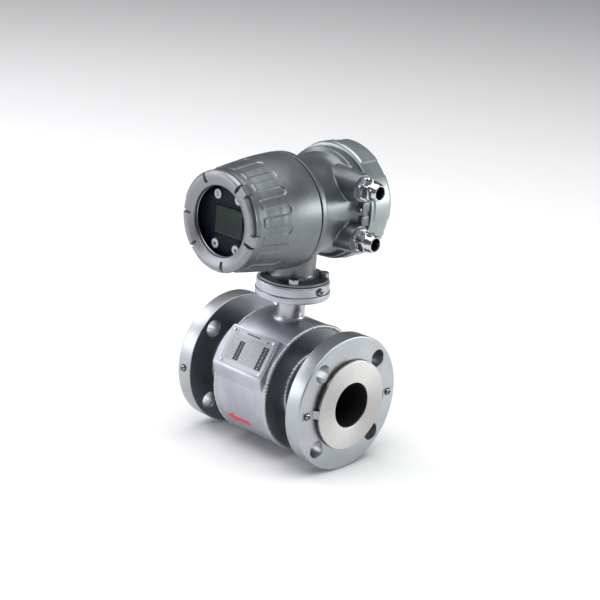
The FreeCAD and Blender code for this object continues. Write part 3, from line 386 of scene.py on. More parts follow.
def make_camera():
    """Camera fitted to the view that the object is built from."""
    data = bpy.data.cameras.new("view_camera")
    data.sensor_width = 36
    data.lens = 100.8138
    data.clip_start = 0.05
    data.clip_end = 20
    camera = bpy.data.objects.new("view_camera", data)
    bpy.context.scene.collection.objects.link(camera)
    right = Vector((0.71096, 0.69913, 0.07586)).normalized()
    back = Vector((0.64851, -0.69353, 0.31377)).normalized()
    up = back.cross(right)
    turn = Matrix((right, up, back)).transposed().to_4x4()
    turn.translation = Vector((1.19130, -1.26056, 0.66371))
    camera.matrix_world = turn
    bpy.context.scene.camera = camera


def make_light(name, spot, target, size, power, colour=(1, 1, 1)):
    """Flat lamp at a spot, turned towards a target."""
    data = bpy.data.lights.new(name, "AREA")
    data.shape = "RECTANGLE"
    data.size, data.size_y = size
    data.energy = power
    data.color = colour
    lamp = bpy.data.objects.new(name, data)
    lamp.location = spot
    lamp.rotation_euler = (Vector(target) - Vector(spot)).to_track_quat("-Z", "Y").to_euler()
    bpy.context.scene.collection.objects.link(lamp)


def make_floor():
    """Pale ground just under the lowest point."""
    shape = bmesh.new()
    bmesh.ops.create_grid(shape, x_segments=1, y_segments=1, size=4)
    mesh = bpy.data.meshes.new("floor")
    shape.to_mesh(mesh)
    shape.free()
    floor = bpy.data.objects.new("floor", mesh)
    floor.location = (0, 0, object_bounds()[0][2] - 0.0005)
    bpy.context.scene.collection.objects.link(floor)
    finish = Finish("pale_floor", (0.9, 0.9, 0.9))
    cloud = finish.noise(400, 2)
    mesh.materials.append(finish.principled(
        colour=finish.mix(cloud, (0.86, 0.86, 0.86), (0.90, 0.90, 0.90)), rough=0.9))


def make_world():
    """Weak, even light from all round."""
    world = bpy.data.worlds.new("studio")
    world.use_nodes = True
    world.node_tree.nodes["Background"].inputs[0].default_value = (0.93, 0.96, 1.0, 1)
    world.node_tree.nodes["Background"].inputs[1].default_value = 0.16
    bpy.context.scene.world = world
    bpy.context.scene.view_settings.view_transform = "Standard"


FINISHES = {}
# Colour, roughness and, for some, size of grain.
METALS = {"neck_steel": ((0.44, 0.45, 0.49), 0.3), "weld_steel": ((0.52, 0.53, 0.56), 0.4, 1.2),
          "fastener_steel": ((0.33, 0.335, 0.36), 0.2), "clip_metal": ((0.33, 0.33, 0.35), 0.24),
          "soft_iron": ((0.22, 0.22, 0.23), 0.5)}
MOULDINGS = {"liner_rubber": ((0.012, 0.012, 0.013), 0.5), "seal_rubber": ((0.015, 0.015, 0.015), 0.55),
             "black_plastic": ((0.010, 0.010, 0.014), 0.4), "key_white": ((0.72, 0.72, 0.71), 0.4),
             "board_green": ((0.02, 0.10, 0.05), 0.3), "coil_tape": ((0.45, 0.27, 0.08), 0.5),
             "arrow_red": ((0.62, 0.03, 0.05), 0.4, 0.4)}
NODE_FINISHES = {"display_panel": "panel_print", "rivets": "plate_metal", "grounding_clips": "clip_metal",
                 "lock_screw": "shaded_steel"}
KEYS = {"key_up_left": (-15.3, 24.5, "ring"), "key_up_right": (15.3, 24.5, "right"),
        "key_down_left": (-15.3, -28.5, "dot"), "key_down_right": (15.3, -28.5, "down")}


def make_finishes():
    """Finishes by slot, then the ones that single pieces have."""
    FINISHES.update({
        "head_paint": head_paint("cast_head_paint", (0.15, 0.163, 0.17)),
        # Painted light: the rear lid gets the head's paint in a lighter copy, as it stands in stronger
        # light.
        "rear_paint": head_paint("rear_lid_lit_paint", (0.31, 0.35, 0.35)),
        "blasted_steel": blasted_steel("blasted_steel"),
        "flange_steel": turned_steel("turned_flange_steel", (0.43, 0.455, 0.475)),
        "ring_steel": brushed_face("turned_ring_steel", (0.56, 0.555, 0.545), 0.26),
        "plate_metal": plain_metal("nameplate_metal", (0.62, 0.63, 0.65), 0.38),
        "nickel": plain_metal("nickel_plating", (0.56, 0.57, 0.61), 0.18, 0.3),
        "window_glass": clear_glass("window_glass_finish"),
        "panel_print": panel_print("display_print"),
        "screen_dark": screen_print("screen_face"),
        "clear_plastic": moulded("pale_plastic", (0.62, 0.61, 0.56), 0.4),
        # Painted shade: a darker copy of the blasted steel for the end discs and the flange backs and
        # sleeves, which stand in the flanges' shade; the lock screw wears it too.
        "shaded_steel": blasted_steel("shaded_steel", (0.25, 0.265, 0.29)),
        "plate_print": plate_print("nameplate_print"),
    })
    for name, row in METALS.items():
        FINISHES[name] = plain_metal(name, *row)
    for name, row in MOULDINGS.items():
        FINISHES[name] = moulded(name, *row)
    for key, (across, up, mark) in KEYS.items():
        FINISHES[key] = key_print("key_print_" + mark, across, up, mark)
        NODE_FINISHES[key] = key


# ---- mesh helpers

# Directions along each axis, and of a turned profile's radius.
ALONG = {"x": Vector((1, 0, 0)), "y": Vector((0, 1, 0)), "z": Vector((0, 0, 1))}
OUT = {"x": Vector((0, -1, 0)), "y": Vector((1, 0, 0)), "z": Vector((1, 0, 0))}
HEAD = Vector((0, 0, HEAD_LEVEL))
GLAND_ALONG = 29.0
GLANDS = {"upper": 226.6, "lower": 170.6}
BARREL_RADIUS = 71
BOLT_CIRCLE = 60.35
FOOT_CIRCLE = 33
PLATE_TILT = math.radians(32)


def eased(points, size=0.5, parts=3):
    """Replaces each corner of a closed profile with a small curve; a third number is its own size."""
    out = []
    for index, (along, radius, *own) in enumerate(points):
        here = Vector((along, radius))
        back = Vector(points[index - 1][:2]) - here
        on = Vector(points[(index + 1) % len(points)][:2]) - here
        reach = min(own[0] if own else size, back.length * 0.46, on.length * 0.46)
        if radius < 0.01 or reach < 0.03:
            out.append((along, radius))
            continue
        start = here + back.normalized() * reach
        end = here + on.normalized() * reach
        for step in range(parts + 1):
            part = step / parts
            spot = start.lerp(here, part).lerp(here.lerp(end, part), part)
            out.append((spot.x, spot.y))
    return out


def lathe(shape, axis, profile, steps, base=(0, 0, 0)):
    """Spins a closed profile of (along, radius) points, in millimetres, about an axis through base."""
    centre = Vector(base) * MM
    verts = [shape.verts.new(centre + (ALONG[axis] * along + OUT[axis] * radius) * MM)
             for along, radius, *_ in profile]
    edges = [shape.edges.new((verts[index - 1], vert)) for index, vert in enumerate(verts)]
    before = set(shape.verts) - set(verts)
    bmesh.ops.spin(shape, geom=verts + edges, cent=centre, axis=ALONG[axis], angle=2 * math.pi,
                   steps=steps, use_merge=True, use_duplicate=False)
    made = [vert for vert in shape.verts if vert not in before]
    bmesh.ops.remove_doubles(shape, verts=made, dist=0.000002)


def pinch(shape, axis, base, low, high, apothem, turn):
    """Presses the turned stretch from low to high into a hexagon with chamfered corners."""
    centre = Vector(base) * MM
    aside = ALONG[axis].cross(OUT[axis])
    for vert in shape.verts:
        arm = vert.co - centre
        along = arm.dot(ALONG[axis])
        arm -= ALONG[axis] * along
        if arm.length < apothem * 0.8 * MM or not low * MM - 1e-6 <= along <= high * MM + 1e-6:
            continue
        angle = math.degrees(math.atan2(arm.dot(aside), arm.dot(OUT[axis]))) - turn
        off = math.radians((angle + 30) % 60 - 30)
        reach = apothem * MM / math.cos(off)
        if arm.length > reach:
            vert.co = centre + ALONG[axis] * along + arm.normalized() * reach


def box_block(shape, low, high, bevel, segments):
    """Block between two corners, in millimetres, with rounded edges."""
    made = bmesh.ops.create_cube(shape, size=1)["verts"]
    low, high = Vector(low), Vector(high)
    for vert in made:
        for axis in range(3):
            vert.co[axis] = (low[axis] if vert.co[axis] < 0 else high[axis]) * MM
    edges = list({edge for vert in made for edge in vert.link_edges})
    bmesh.ops.bevel(shape, geom=edges, offset=bevel * MM, segments=segments, profile=0.5,
                    affect="EDGES", material=-1)


def swept(shape, rings, closed=True):
    """Joins rings of points into a skin; closed rings go all the way round."""
    for low, high in zip(rings, rings[1:]):
        for step in range(len(low) if closed else len(low) - 1):
            on = (step + 1) % len(low)
            shape.faces.new((low[step], low[on], high[on], high[step]))


def new_thing(name, shape):
    """Puts a shape in the scene, with its faces turned outwards."""
    bmesh.ops.recalc_face_normals(shape, faces=shape.faces[:])
    mesh = bpy.data.meshes.new(name)
    shape.to_mesh(mesh)
    shape.free()
    thing = bpy.data.objects.new(name, mesh)
    bpy.context.scene.collection.objects.link(thing)
    return thing


def carve(thing, cutter):
    """Cuts one thing with another and keeps the result as plain mesh."""
    cut = thing.modifiers.new("cut", "BOOLEAN")
    cut.operation = "DIFFERENCE"
    cut.solver = "EXACT"
    cut.object = cutter
    graph = bpy.context.evaluated_depsgraph_get()
    baked = bpy.data.meshes.new_from_object(thing.evaluated_get(graph))
    thing.modifiers.clear()
    thing.data = baked
    bpy.data.objects.remove(cutter)


def present(thing, slot, body="meter", nodes=(), finish=None, angle=34):
    """Shades a new piece, gives it its finish, its body and the parts it stands for."""
    mesh = thing.data
    mesh.name = thing.name
    mesh.polygons.foreach_set("use_smooth", [True] * len(mesh.polygons))
    mesh.set_sharp_from_angle(angle=math.radians(angle))
    if not mesh.materials:
        mesh.materials.append(FINISHES[finish or slot])
    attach(thing, body)
    if nodes:
        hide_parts(*nodes)


def finished(name, shape, slot, **how):
    """A shape made into a presented piece."""
    present(new_thing(name, shape), slot, **how)


def turned_piece(name, axis, profile, slot, steps=128, base=(0, 0, 0), **how):
    """One turned piece from its profile."""
    shape = bmesh.new()
    lathe(shape, axis, profile, steps, base)
    finished(name, shape, slot, **how)


def upright(across, along, height):
    """Place of a fillet about the vertical axis."""
    return Vector((across, along, height))


def skirt(shape, place, radius, draft, surface, flare, steps=96, rows=7):
    """Cast fillet between a round stem and the surface it meets; surface gives the height over a spot."""
    rings = []
    for row in range(rows + 1):
        part = row / rows
        ring = []
        for step in range(steps):
            angle = 2 * math.pi * step / steps
            aim = (math.cos(angle), math.sin(angle))
            foot = surface(radius * aim[0], radius * aim[1])
            out = surface((radius + flare) * aim[0], (radius + flare) * aim[1])
            start = Vector((radius - draft * flare, foot + flare))
            middle = Vector((radius, foot))
            end = Vector((radius + flare, out))
            spot = start.lerp(middle, part).lerp(middle.lerp(end, part), part)
            ring.append(shape.verts.new(place(spot.x * aim[0], spot.x * aim[1], spot.y) * MM))
        rings.append(ring)
    swept(shape, rings)


def weld(name, axis, along, radius, size, count, seed, slot="blasted_steel"):
    """Weld bead round a joint, with a ripple for each of its count drops."""
    chance = random.Random(seed)
    shape = bmesh.new()
    profile = [(along + size * math.cos(step * math.pi / 4), radius + size * math.sin(step * math.pi / 4))
               for step in range(8)]
    lathe(shape, axis, profile, count * 6)
    swell = [chance.uniform(0.92, 1.08) for _ in range(count)]
    aside = ALONG[axis].cross(OUT[axis])
    for vert in shape.verts:
        flat = vert.co - ALONG[axis] * vert.co.dot(ALONG[axis])
        turn = math.atan2(flat.dot(aside), flat.dot(OUT[axis])) / (2 * math.pi) % 1 * count
        part = turn % 1
        ripple = swell[int(turn) % count] * (0.86 + 0.2 * math.sin(math.pi * part) ** 0.6)
        core = ALONG[axis] * (along * MM) + flat.normalized() * (radius * MM)
        vert.co = core + (vert.co - core) * ripple
    finished(name, shape, slot, finish="weld_steel", angle=60)


# ---- front cover

NOTCHES = (56.6, 117.8, 179.4, 223.5, 282.7, 343.6)
RIM_GAPS = ((-3.0, 43.0), (163.0, 179.4), (223.5, 237.5))
RIM_LUGS = ((343.6, 357.0), (43.0, 56.6))
COVER_LINE = ((-116, 53.4), (-109.5, 54.5), (-104.3, 55.0), (-100, 55.4), (-95, 56.2), (-90, 56.9),
              (-85, 57.5), (-80, 58.2), (-75, 58.7), (-70, 59.4), (-60, 60.6), (-50, 61.4), (-40, 61.9),
              (-27.8, 62.4))
COVER_STEPS = 540
SIDE_START = -116.0
SIDE_END = -69
WINDOW_EDGE = 38
GRIP_DEPTH = 0.95
GRIP_WIDTH = 9.2
GRIP_PITCH = 20
GRIP_END = -69.8
LAND_FRONT = -104.3
PAD_HEIGHT = 1.3
RIM_FRONT = -114.4
RIM_INSIDE = 50.0
LUG_BACK = -108.6
LUG_FRONT = -120
LUG_INSIDE = 43
LUG_TOP = 55.2
BEZEL_LIP = -118.0
NOTCH_FLOOR = -114.2
NOTCH_HALF = 1.85
NOTCH_INSIDE = 41.4


def follow(line, spot):
    """Radius of a drafted line at a place along it."""
    for (low, first), (high, second) in zip(line, line[1:]):
        if spot <= high:
            return first + (second - first) * (spot - low) / (high - low)
    return line[-1][1]


def soft_step(value, low, high):
    """0 below low, 1 above high, and a soft step between."""
    part = min(1.0, max(0.0, (value - low) / (high - low)))
    return part * part * (3 - 2 * part)


def between(degrees, low, high):
    """How far an angle is inside a span, in degrees; negative outside it."""
    middle = (low + high) / 2
    off = abs((degrees - middle + 180) % 360 - 180)
    return (high - low) / 2 - off


def grip_level(degrees, along, radius):
    """1 on the lands of the grip and 0 in its recesses and in front of them."""
    aside = math.radians((degrees + GRIP_PITCH / 2) % GRIP_PITCH - GRIP_PITCH / 2) * radius
    half = GRIP_WIDTH / 2
    turn = GRIP_END - half
    recess = abs(aside) - half if along < turn else math.hypot(aside, along - turn) - half
    front = along - LAND_FRONT
    ease = max(0.0, 1.6 - abs(recess - front)) / 1.6
    # The 1.6 mm round where a recess runs out to the front.
    edge = min(recess, front) - ease * ease * 0.4
    return soft_step(edge, -0.35, 0.4)


def shape_bezel(degrees, along, radius):
    """Flat square lugs, lowered rims and radial notches of the bezel ring."""
    gap = max(between(degrees, *limits) for limits in RIM_GAPS)
    drop = soft_step(gap, -0.1, 0.4) * soft_step(radius, RIM_INSIDE, RIM_INSIDE + 0.7)
    along += drop * max(0.0, RIM_FRONT - along)
    lug = max(between(degrees, *limits) for limits in RIM_LUGS)
    if radius > LUG_INSIDE and along < LUG_BACK + 0.1:
        rise = soft_step(lug, 0, 0.3) * soft_step(-along, -LUG_BACK, 0.8 - LUG_BACK)
        if along < BEZEL_LIP:
            along -= rise * (along - LUG_FRONT)
            radius += rise * (radius - LUG_INSIDE) * 0.33
        radius += rise * max(0.0, LUG_TOP - radius) * (along > BEZEL_LIP)
    notch = min(abs((degrees - angle + 180) % 360 - 180) for angle in NOTCHES)
    slot = soft_step(NOTCH_HALF - math.radians(notch) * radius, 0, 0.35)
    slot *= soft_step(radius, NOTCH_INSIDE, NOTCH_INSIDE + 0.8)
    if along < NOTCH_FLOOR + 0.2:
        along += slot * max(0.0, min(5.0, NOTCH_FLOOR - along))
    return along, radius


def thread_rings(start, pitch, count, crest=56.35, root=57.1):
    """Inside thread of a cover, as profile points."""
    points = []
    for tooth in range(count):
        points += [(start - pitch * tooth, root), (start - 0.9 - pitch * tooth, crest)]
    return points


def cover_profile():
    """Front cover from the window round its outside to its inside."""
    face = [(-116.4, 37.5), (-117.0, 38.2), (-118.3, 41.5), (-119.4, 44.5), (-119.9, 46.5), (-120, 48.2),
            (-119.8, 49.9), (-119.2, 51.2), (-118.2, 52.2), (-116.9, 53.0), (-116, 53.4)]
    rows = []
    for (low, first), (high, second) in zip(face, face[1:]):
        count = max(1, round(math.hypot(high - low, second - first) / 0.55))
        rows += [(low + (high - low) * step / count, first + (second - first) * step / count)
                 for step in range(count)]
    along = SIDE_START
    while along < -68.5:
        rows.append((along, follow(COVER_LINE, along)))
        along += 0.6
    rows += [(spot, follow(COVER_LINE, spot)) for spot in (-68, -64, -60, -55, -50, -45, -40, -35, -31)]
    rows += [(-30.0, 62.3), (-29.3, 62.1), (-29.0, 61.6), (-29.0, 58.6), (-31.2, 58.6), (-31.2, 56.35)]
    rows += thread_rings(-31.6, 1.95, 8)
    rows += [(-46.8, 56.35), (-46.8, 47.5), (-102.5, 47.5), (-102.5, 44.3), (-106.5, 44.3), (-106.5, 42.6),
             (-111, 42.6), (-111, 37.9), (-111.3, 37.5)]
    return rows


def make_front_cover():
    """Turned casting whose outside is pressed into the forms of the grip and the bezel."""
    shape = bmesh.new()
    lathe(shape, "y", cover_profile(), COVER_STEPS, HEAD)
    centre = HEAD * MM
    for vert in shape.verts:
        arm = (vert.co - centre) / MM
        along = arm.y
        radius = math.hypot(arm.x, arm.z)
        if along > SIDE_END or radius < WINDOW_EDGE:
            continue
        degrees = math.degrees(math.atan2(arm.z, arm.x)) % 360
        angle = math.radians(degrees)
        if along > SIDE_START - 0.01 and radius > RIM_INSIDE:
            recess = 1 - grip_level(degrees, along, radius)
            radius -= GRIP_DEPTH * recess * soft_step(along, SIDE_START, SIDE_START + 3)
        if along < LUG_BACK + 0.6:
            along, radius = shape_bezel(degrees, along, radius)
        vert.co = centre + Vector((radius * math.cos(angle), along, radius * math.sin(angle))) * MM
    finished("front_cover_casting", shape, "head_paint", body="front_lid", nodes=["front_cover"],
             angle=55)


def make_window_lip_highlight():
    """Bright steel lip round the window opening, in front of the glass: its bare steel, brighter than the
    paint, stands in for the highlight on the bezel's lip.
    """
    profile = [(-111.9, 37.45), (-112.6, 37.45), (-112.9, 37.1), (-112.5, 36.8), (-112.0, 37.0)]
    turned_piece("window_lip_highlight", "y", profile, "head_paint", 160, HEAD, body="front_lid",
                 finish="neck_steel")


# ---- converter housing

# Radius of the housing between its two chambers.
WAIST_LINE = ((-45, 56), (-27.21, 56), (-27.2, 62), (-20, 62), (-17.2, 54.2), (-14, 52.2), (-10, 52),
              (26, 52), (30, 53.2), (34, 57), (36, 60.5), (45, 60.5), (60, 60.5))


def teeth(start, end, radius):
    """Thread rings on a spigot, as profile points."""
    count = int(abs(end - start) / 2)
    step = (end - start) / count
    points = []
    for index in range(count):
        spot = start + step * index
        points += [(spot + step * 0.2, radius), (spot + step * 0.7, radius - 0.75)]
    return points


def waist_reach(along, up):
    """How far out the housing's skin is at a height over its axis, and the height, kept on it."""
    reach = follow(WAIST_LINE, min(along, 44.9))
    up = max(-0.97 * reach, min(0.97 * reach, up))
    return math.sqrt(reach * reach - up * up), up


def gland_boss(shape, rise):
    """Drafted boss of a cable entry, with the fillet that joins it to the housing."""
    profile = eased([(64.5, 9.9), (64.5, 15, 1.0), (24, 18.0), (24, 9.9)], 0.4, 4)
    lathe(shape, "x", profile, 96, (0, GLAND_ALONG, HEAD_LEVEL + rise))

    def side(across, up):
        return waist_reach(GLAND_ALONG + across, rise + up)[0]

    def sideways(across, up, height):
        along = GLAND_ALONG + across
        return Vector((height, along, HEAD_LEVEL + waist_reach(along, rise + up)[1]))

    skirt(shape, sideways, 16.6, 0.08, side, 2.2)


def make_lock_lug():
    """Two blocks with a bridge, between the glands."""
    shape = bmesh.new()
    box_block(shape, (49, 33.2, 198.6), (61.8, 44.4, 209.4), 0.5, 2)
    box_block(shape, (49, 33.2, 183.0), (61.8, 44.4, 194.2), 0.5, 2)
    box_block(shape, (49, 33.8, 193.8), (56.2, 44.2, 199.0), 0.3, 1)
    finished("lock_lug", shape, "head_paint")


def make_housing():
    """Converter housing: two threaded chambers, a waist, a foot and gland bosses."""
    shape = bmesh.new()
    # Each slice drops the ends, which eased() rounds too.
    waist = eased([(-44.2, 48), (-44.2, 55.4, 0.4)], 0.3)[:6] + teeth(-43.6, -29, 56)
    waist += [(-27.2, 55.6)] + eased([(-27.2, 55.6), (-27.2, 62, 0.8), (-20.2, 62, 1.4), (-17.4, 53.8, 2.2),
                                      (-11, 52, 3), (25, 52, 6), (33, 55.4, 4), (35.6, 59.6, 1.0),
                                      (36.6, 60.5, 0.5), (45, 60.5, 0.7), (45, 55.6)], 0.5, 5)[6:-6]
    waist += [(45, 60.0), (45, 55.6)] + teeth(46, 57.6, 56)
    waist += [(58, 55.2), (58, 46.5), (12, 46.5), (12, 0), (8, 0), (8, 48)]
    lathe(shape, "y", waist, 216, HEAD)
    lathe(shape, "z", eased([(116.3, 8), (116.3, 38.6, 0.4), (118.9, 38.6, 0.8), (118.9, 27, 2.5),
                             (122.4, 23.6, 3.0), (147.3, 23.5), (147.3, 8)], 0.2, 4), 144)

    def under(across, along):
        reach = follow(WAIST_LINE, max(-19.0, along) if along < 0 else along)
        return math.sqrt(max(reach * reach - across * across, 100.0)) - HEAD_LEVEL

    # The fillet under the housing is made upside down, then turned over.
    skirt(shape, upright, 23.5, 0, under, 6.5)
    for vert in shape.verts:
        if vert.co.z < 0:
            vert.co.z = -vert.co.z
    for high in GLANDS.values():
        gland_boss(shape, high - HEAD_LEVEL)
    thing = new_thing("converter_housing_casting", shape)
    make_lock_lug()
    present(thing, "head_paint", nodes=["converter_housing"], angle=38)


def make_rear_cover():
    """Rear lid with six low pads round its rim and a shallow recess in its back."""
    shape = bmesh.new()
    rows = [(45.6, 58.6), (45.6, 63.0), (45.75, 63.35), (46.1, 63.5)]
    rows += [(46.6 + 0.8 * step, 63.5) for step in range(32)]
    rows += [(72.6, 63.5), (73.4, 63.4), (74.6, 63.0), (75.7, 62.3), (76.6, 61.2), (77.2, 59.9),
             (77.5, 58.5), (77.5, 52), (76.9, 51.2), (76.9, 0), (72.5, 0), (72.5, 47.5), (60, 47.5),
             (60, 56.35)]
    rows += thread_rings(58.5, 1.9, 5)
    rows += [(48.6, 56.35), (48.6, 58.6)]
    lathe(shape, "y", rows, 288, HEAD)
    centre = HEAD * MM
    for vert in shape.verts:
        arm = (vert.co - centre) / MM
        radius = math.hypot(arm.x, arm.z)
        if radius < 62 or arm.y < 46.2:
            continue
        degrees = math.degrees(math.atan2(arm.z, arm.x)) % 360
        gap = math.radians(between(degrees % 60, 36, 52)) * radius
        level = (1 - soft_step(gap, -0.3, 0.4)) * soft_step(arm.y, 49.4, 50.2)
        vert.co += Vector((arm.x, 0, arm.z)).normalized() * (PAD_HEIGHT * level * MM)
    finished("rear_cover_casting", shape, "rear_paint", body="rear_lid", nodes=["rear_cover"], angle=50)


# ---- sensor

FLANGE_BACK = 74.5
FLANGE_FRONT = 94
FLANGE_RADIUS = 75
SLEEVE_RADIUS = 38
HOLE_RADIUS = 9.5


def make_flange(name, side):
    """Flange with its sleeve, four chamfered bolt holes and a back painted darker as shade."""
    shape = bmesh.new()
    profile = eased([(38.7, 30.4), (38.7, SLEEVE_RADIUS), (FLANGE_BACK, SLEEVE_RADIUS, 1.5),
                     (FLANGE_BACK, FLANGE_RADIUS, 1.0), (FLANGE_FRONT, FLANGE_RADIUS, 1.6),
                     (FLANGE_FRONT, 30.4)], 0.3, 4)
    lathe(shape, "x", [(side * along, radius) for along, radius in profile], 192)
    thing = new_thing(name + "_flange_body", shape)
    shape = bmesh.new()
    for quarter in range(4):
        angle = math.radians(45 + 90 * quarter)
        centre = (0, BOLT_CIRCLE * math.cos(angle), BOLT_CIRCLE * math.sin(angle))
        cutter = [(73, 0), (73, 10.8), (75.4, HOLE_RADIUS), (93.3, HOLE_RADIUS), (95, 11.2), (95, 0)]
        lathe(shape, "x", [(side * along, radius) for along, radius in cutter], 40, centre)
    carve(thing, new_thing("hole_cutter", shape))
    thing.data.materials.append(FINISHES["flange_steel"])
    thing.data.materials.append(FINISHES["shaded_steel"])
    # Painted shade: faces behind the back plane, the back and the sleeve, get the darker shaded steel.
    for face in thing.data.polygons:
        deep = face.center.x * side / MM
        radius = math.hypot(face.center.y, face.center.z) / MM
        if deep < FLANGE_BACK + 0.2 and radius < FLANGE_RADIUS - 0.4:
            face.material_index = 1
    present(thing, "flange_steel", nodes=[name + "_flange"])


def make_sensor():
    """Flow tube: flanges, coil housing, end discs, raised rings and weld beads."""
    ends = (("inlet", 1), ("outlet", -1))
    for name, side in ends:
        make_flange(name, side)
    turned_piece("coil_housing_shell", "x", eased([
        (-38.5, 68.6), (-38.5, BARREL_RADIUS, 0.8), (38.5, BARREL_RADIUS, 0.8), (38.5, 68.6)], 0.2),
        "blasted_steel", nodes=["coil_housing"], steps=192)
    for name, side in ends:
        # The end discs wear the shaded steel: painted shade between the barrel and the flanges.
        turned_piece(name + "_end_disc", "x", eased([
            (side * 35.5, 38.1), (side * 38.5, 38.1), (side * 38.5, 68.4), (side * 35.5, 68.4)], 0.2),
            "blasted_steel", nodes=[name + "_end_plate"], finish="shaded_steel", steps=160)
        weld(name + "_rim_weld", "x", side * 37.9, 69.6, 2.4, 110, 3)
        weld(name + "_sleeve_weld", "x", side * 39.2, 39.4, 2.6, 56, 5)
        weld(name + "_flange_weld", "x", side * 73.4, 39.0, 2.6, 56, 7, "flange_steel")
        turned_piece(name + "_ring_body", "x", eased([
            (side * 97, 25.2), (side * 97, 49.5, 0.3), (side * 100, 49.5, 0.5), (side * 100, 25.2, 0.6)],
            0.3), "ring_steel", nodes=[name + "_ring"], steps=160)


def plate_spot(along, up, lift):
    """Point on the nameplate's tilted plane, in millimetres."""
    rise, run = math.sin(PLATE_TILT), math.cos(PLATE_TILT)
    return Vector((along, up * rise - lift * run, up * run + lift * rise))


def make_nameplate():
    """Thin round-cornered plate with a UV map in millimetres from its lower left corner."""
    shape = bmesh.new()
    wide, high, corner = 32.5, 21, 2.0
    middle, level = -1.5, 3.5
    rim = []
    for across, up, start in ((1, 1, 0), (-1, 1, 90), (-1, -1, 180), (1, -1, 270)):
        for step in range(6):
            angle = math.radians(start + 18 * step)
            rim.append((across * (wide - corner) + corner * math.cos(angle),
                        up * (high - corner) + corner * math.sin(angle)))
    layers = []
    for lift, inward in ((73.62, 0), (74.25, 0), (74.4, 0.18)):
        layers.append([shape.verts.new(plate_spot(
            middle + across * (1 - inward / wide), level + up * (1 - inward / high), lift) * MM)
            for across, up in rim])
    swept(shape, layers)
    shape.faces.new(layers[-1])
    shape.faces.new(list(reversed(layers[0])))
    place = shape.loops.layers.uv.new("plate")
    for face in shape.faces:
        for loop in face.loops:
            spot = loop.vert.co / MM
            up = spot.y * math.sin(PLATE_TILT) + spot.z * math.cos(PLATE_TILT)
            loop[place].uv = (spot.x - middle + wide, up - level + high)
    finished("nameplate_sheet", shape, "plate_metal", nodes=["nameplate"], finish="plate_print")


def make_bracket():
    """Folded bracket under the nameplate: a flat top, a sloping lower lip and a bowed outlet end."""
    top, low, fold, right, level = 26.6, -34.0, -21.6, 33.4, 73.6
    steps = 60
    loops = []
    shape = bmesh.new()
    for step in range(steps + 1):
        up = top + (low - top) * step / steps
        bow = -36.5 - 6.5 * (1 - ((up + 4) / 30.4) ** 2)
        high = level - max(0.0, fold - up) - 0.6 * max(0.0, 1 - abs(up - fold) / 2) ** 2
        high -= 0.5 if step in (0, steps) else 0
        loops.append([shape.verts.new(plate_spot(along, up, lift) * MM) for along, lift in (
            (bow, 50), (bow, high - 0.8), (bow + 0.25, high - 0.2), (bow + 0.9, high),
            (right - 0.9, high), (right - 0.25, high - 0.2), (right, high - 0.8), (right, 50))])
    swept(shape, loops)
    shape.faces.new(loops[0])
    shape.faces.new(loops[-1])
    finished("bracket_sheet", shape, "blasted_steel", nodes=["nameplate_bracket"])


def make_arrow():
    """Flow arrow printed on the barrel, from inlet to outlet: a shaft and a head."""
    shape = bmesh.new()
    half, shaft, middle, tip, neck, tail = 7.4, 3.9, -41.4, -27.6, -14.0, 9.3
    lift = BARREL_RADIUS + 0.06

    def spot(along, up):
        angle = (middle + up) / BARREL_RADIUS
        return shape.verts.new(Vector((along, -lift * math.cos(angle), lift * math.sin(angle))) * MM)

    def edge(up):
        return tip + abs(up) / half * (neck - tip - 0.2)

    levels = [half * step / 30 for step in range(-30, 31)]
    head = [(spot(edge(up), up), spot(neck, up)) for up in levels]
    inner = [(pair[1], spot(tail, up)) for pair, up in zip(head, levels) if abs(up) <= shaft]
    swept(shape, head, False)
    swept(shape, inner, False)
    finished("flow_arrow", shape, "blasted_steel", finish="arrow_red", angle=60)


def make_pedestal():
    """Neck pipe with its welds, neck flange and adapter ring."""
    turned_piece("neck_pipe_body", "z", eased([
        (66.6, 13.1), (66.6, 15.5), (97.7, 15.5), (97.7, 13.1)], 0.1), "blasted_steel",
        nodes=["neck_pipe"], finish="neck_steel", steps=96)
    shape = bmesh.new()

    def barrel_top(across, along):
        return math.sqrt(BARREL_RADIUS * BARREL_RADIUS - along * along)

    skirt(shape, upright, 15.4, 0, barrel_top, 4.6, 120, 8)
    chance = random.Random(11)
    for vert in shape.verts:
        vert.co += Vector((vert.co.x, vert.co.y, 0)).normalized() * chance.uniform(-0.08, 0.08) * MM
    finished("neck_weld_collar", shape, "blasted_steel", finish="weld_steel", angle=60)
    weld("neck_top_weld", "z", 97.2, 16.2, 1.3, 36, 13)
    turned_piece("neck_flange_body", "z", eased([
        (97.7, 13.2), (97.7, 41, 1.2), (104.6, 41, 0.9), (104.6, 13.2)], 0.4, 4), "blasted_steel",
        nodes=["neck_flange"], steps=144)
    turned_piece("adapter_ring_body", "z", eased([
        (104.8, 13.5), (104.8, 40, 0.6), (114.2, 40, 0.5), (114.6, 39.4, 0.2), (115.5, 39.4, 0.3),
        (115.5, 13.5)], 0.3, 4), "blasted_steel", nodes=["adapter_ring"], steps=144)


def hex_head(shape, base, seat, tall, width, turn):
    """Upright hexagon head with a chamfered top, standing on seat."""
    half = width / 2
    corner = half / math.cos(math.pi / 6)
    top = seat + tall
    rows = [(seat, 0), (seat, corner), (top - 1.1, corner), (top - 0.75, corner * 0.985),
            (top - 0.35, corner * 0.93), (top, half * 0.93), (top, half * 0.6),
            (top - 0.15, half * 0.5), (top - 0.15, 0)]
    lathe(shape, "z", rows, 72, base)
    pinch(shape, "z", base, seat, top, half, turn)


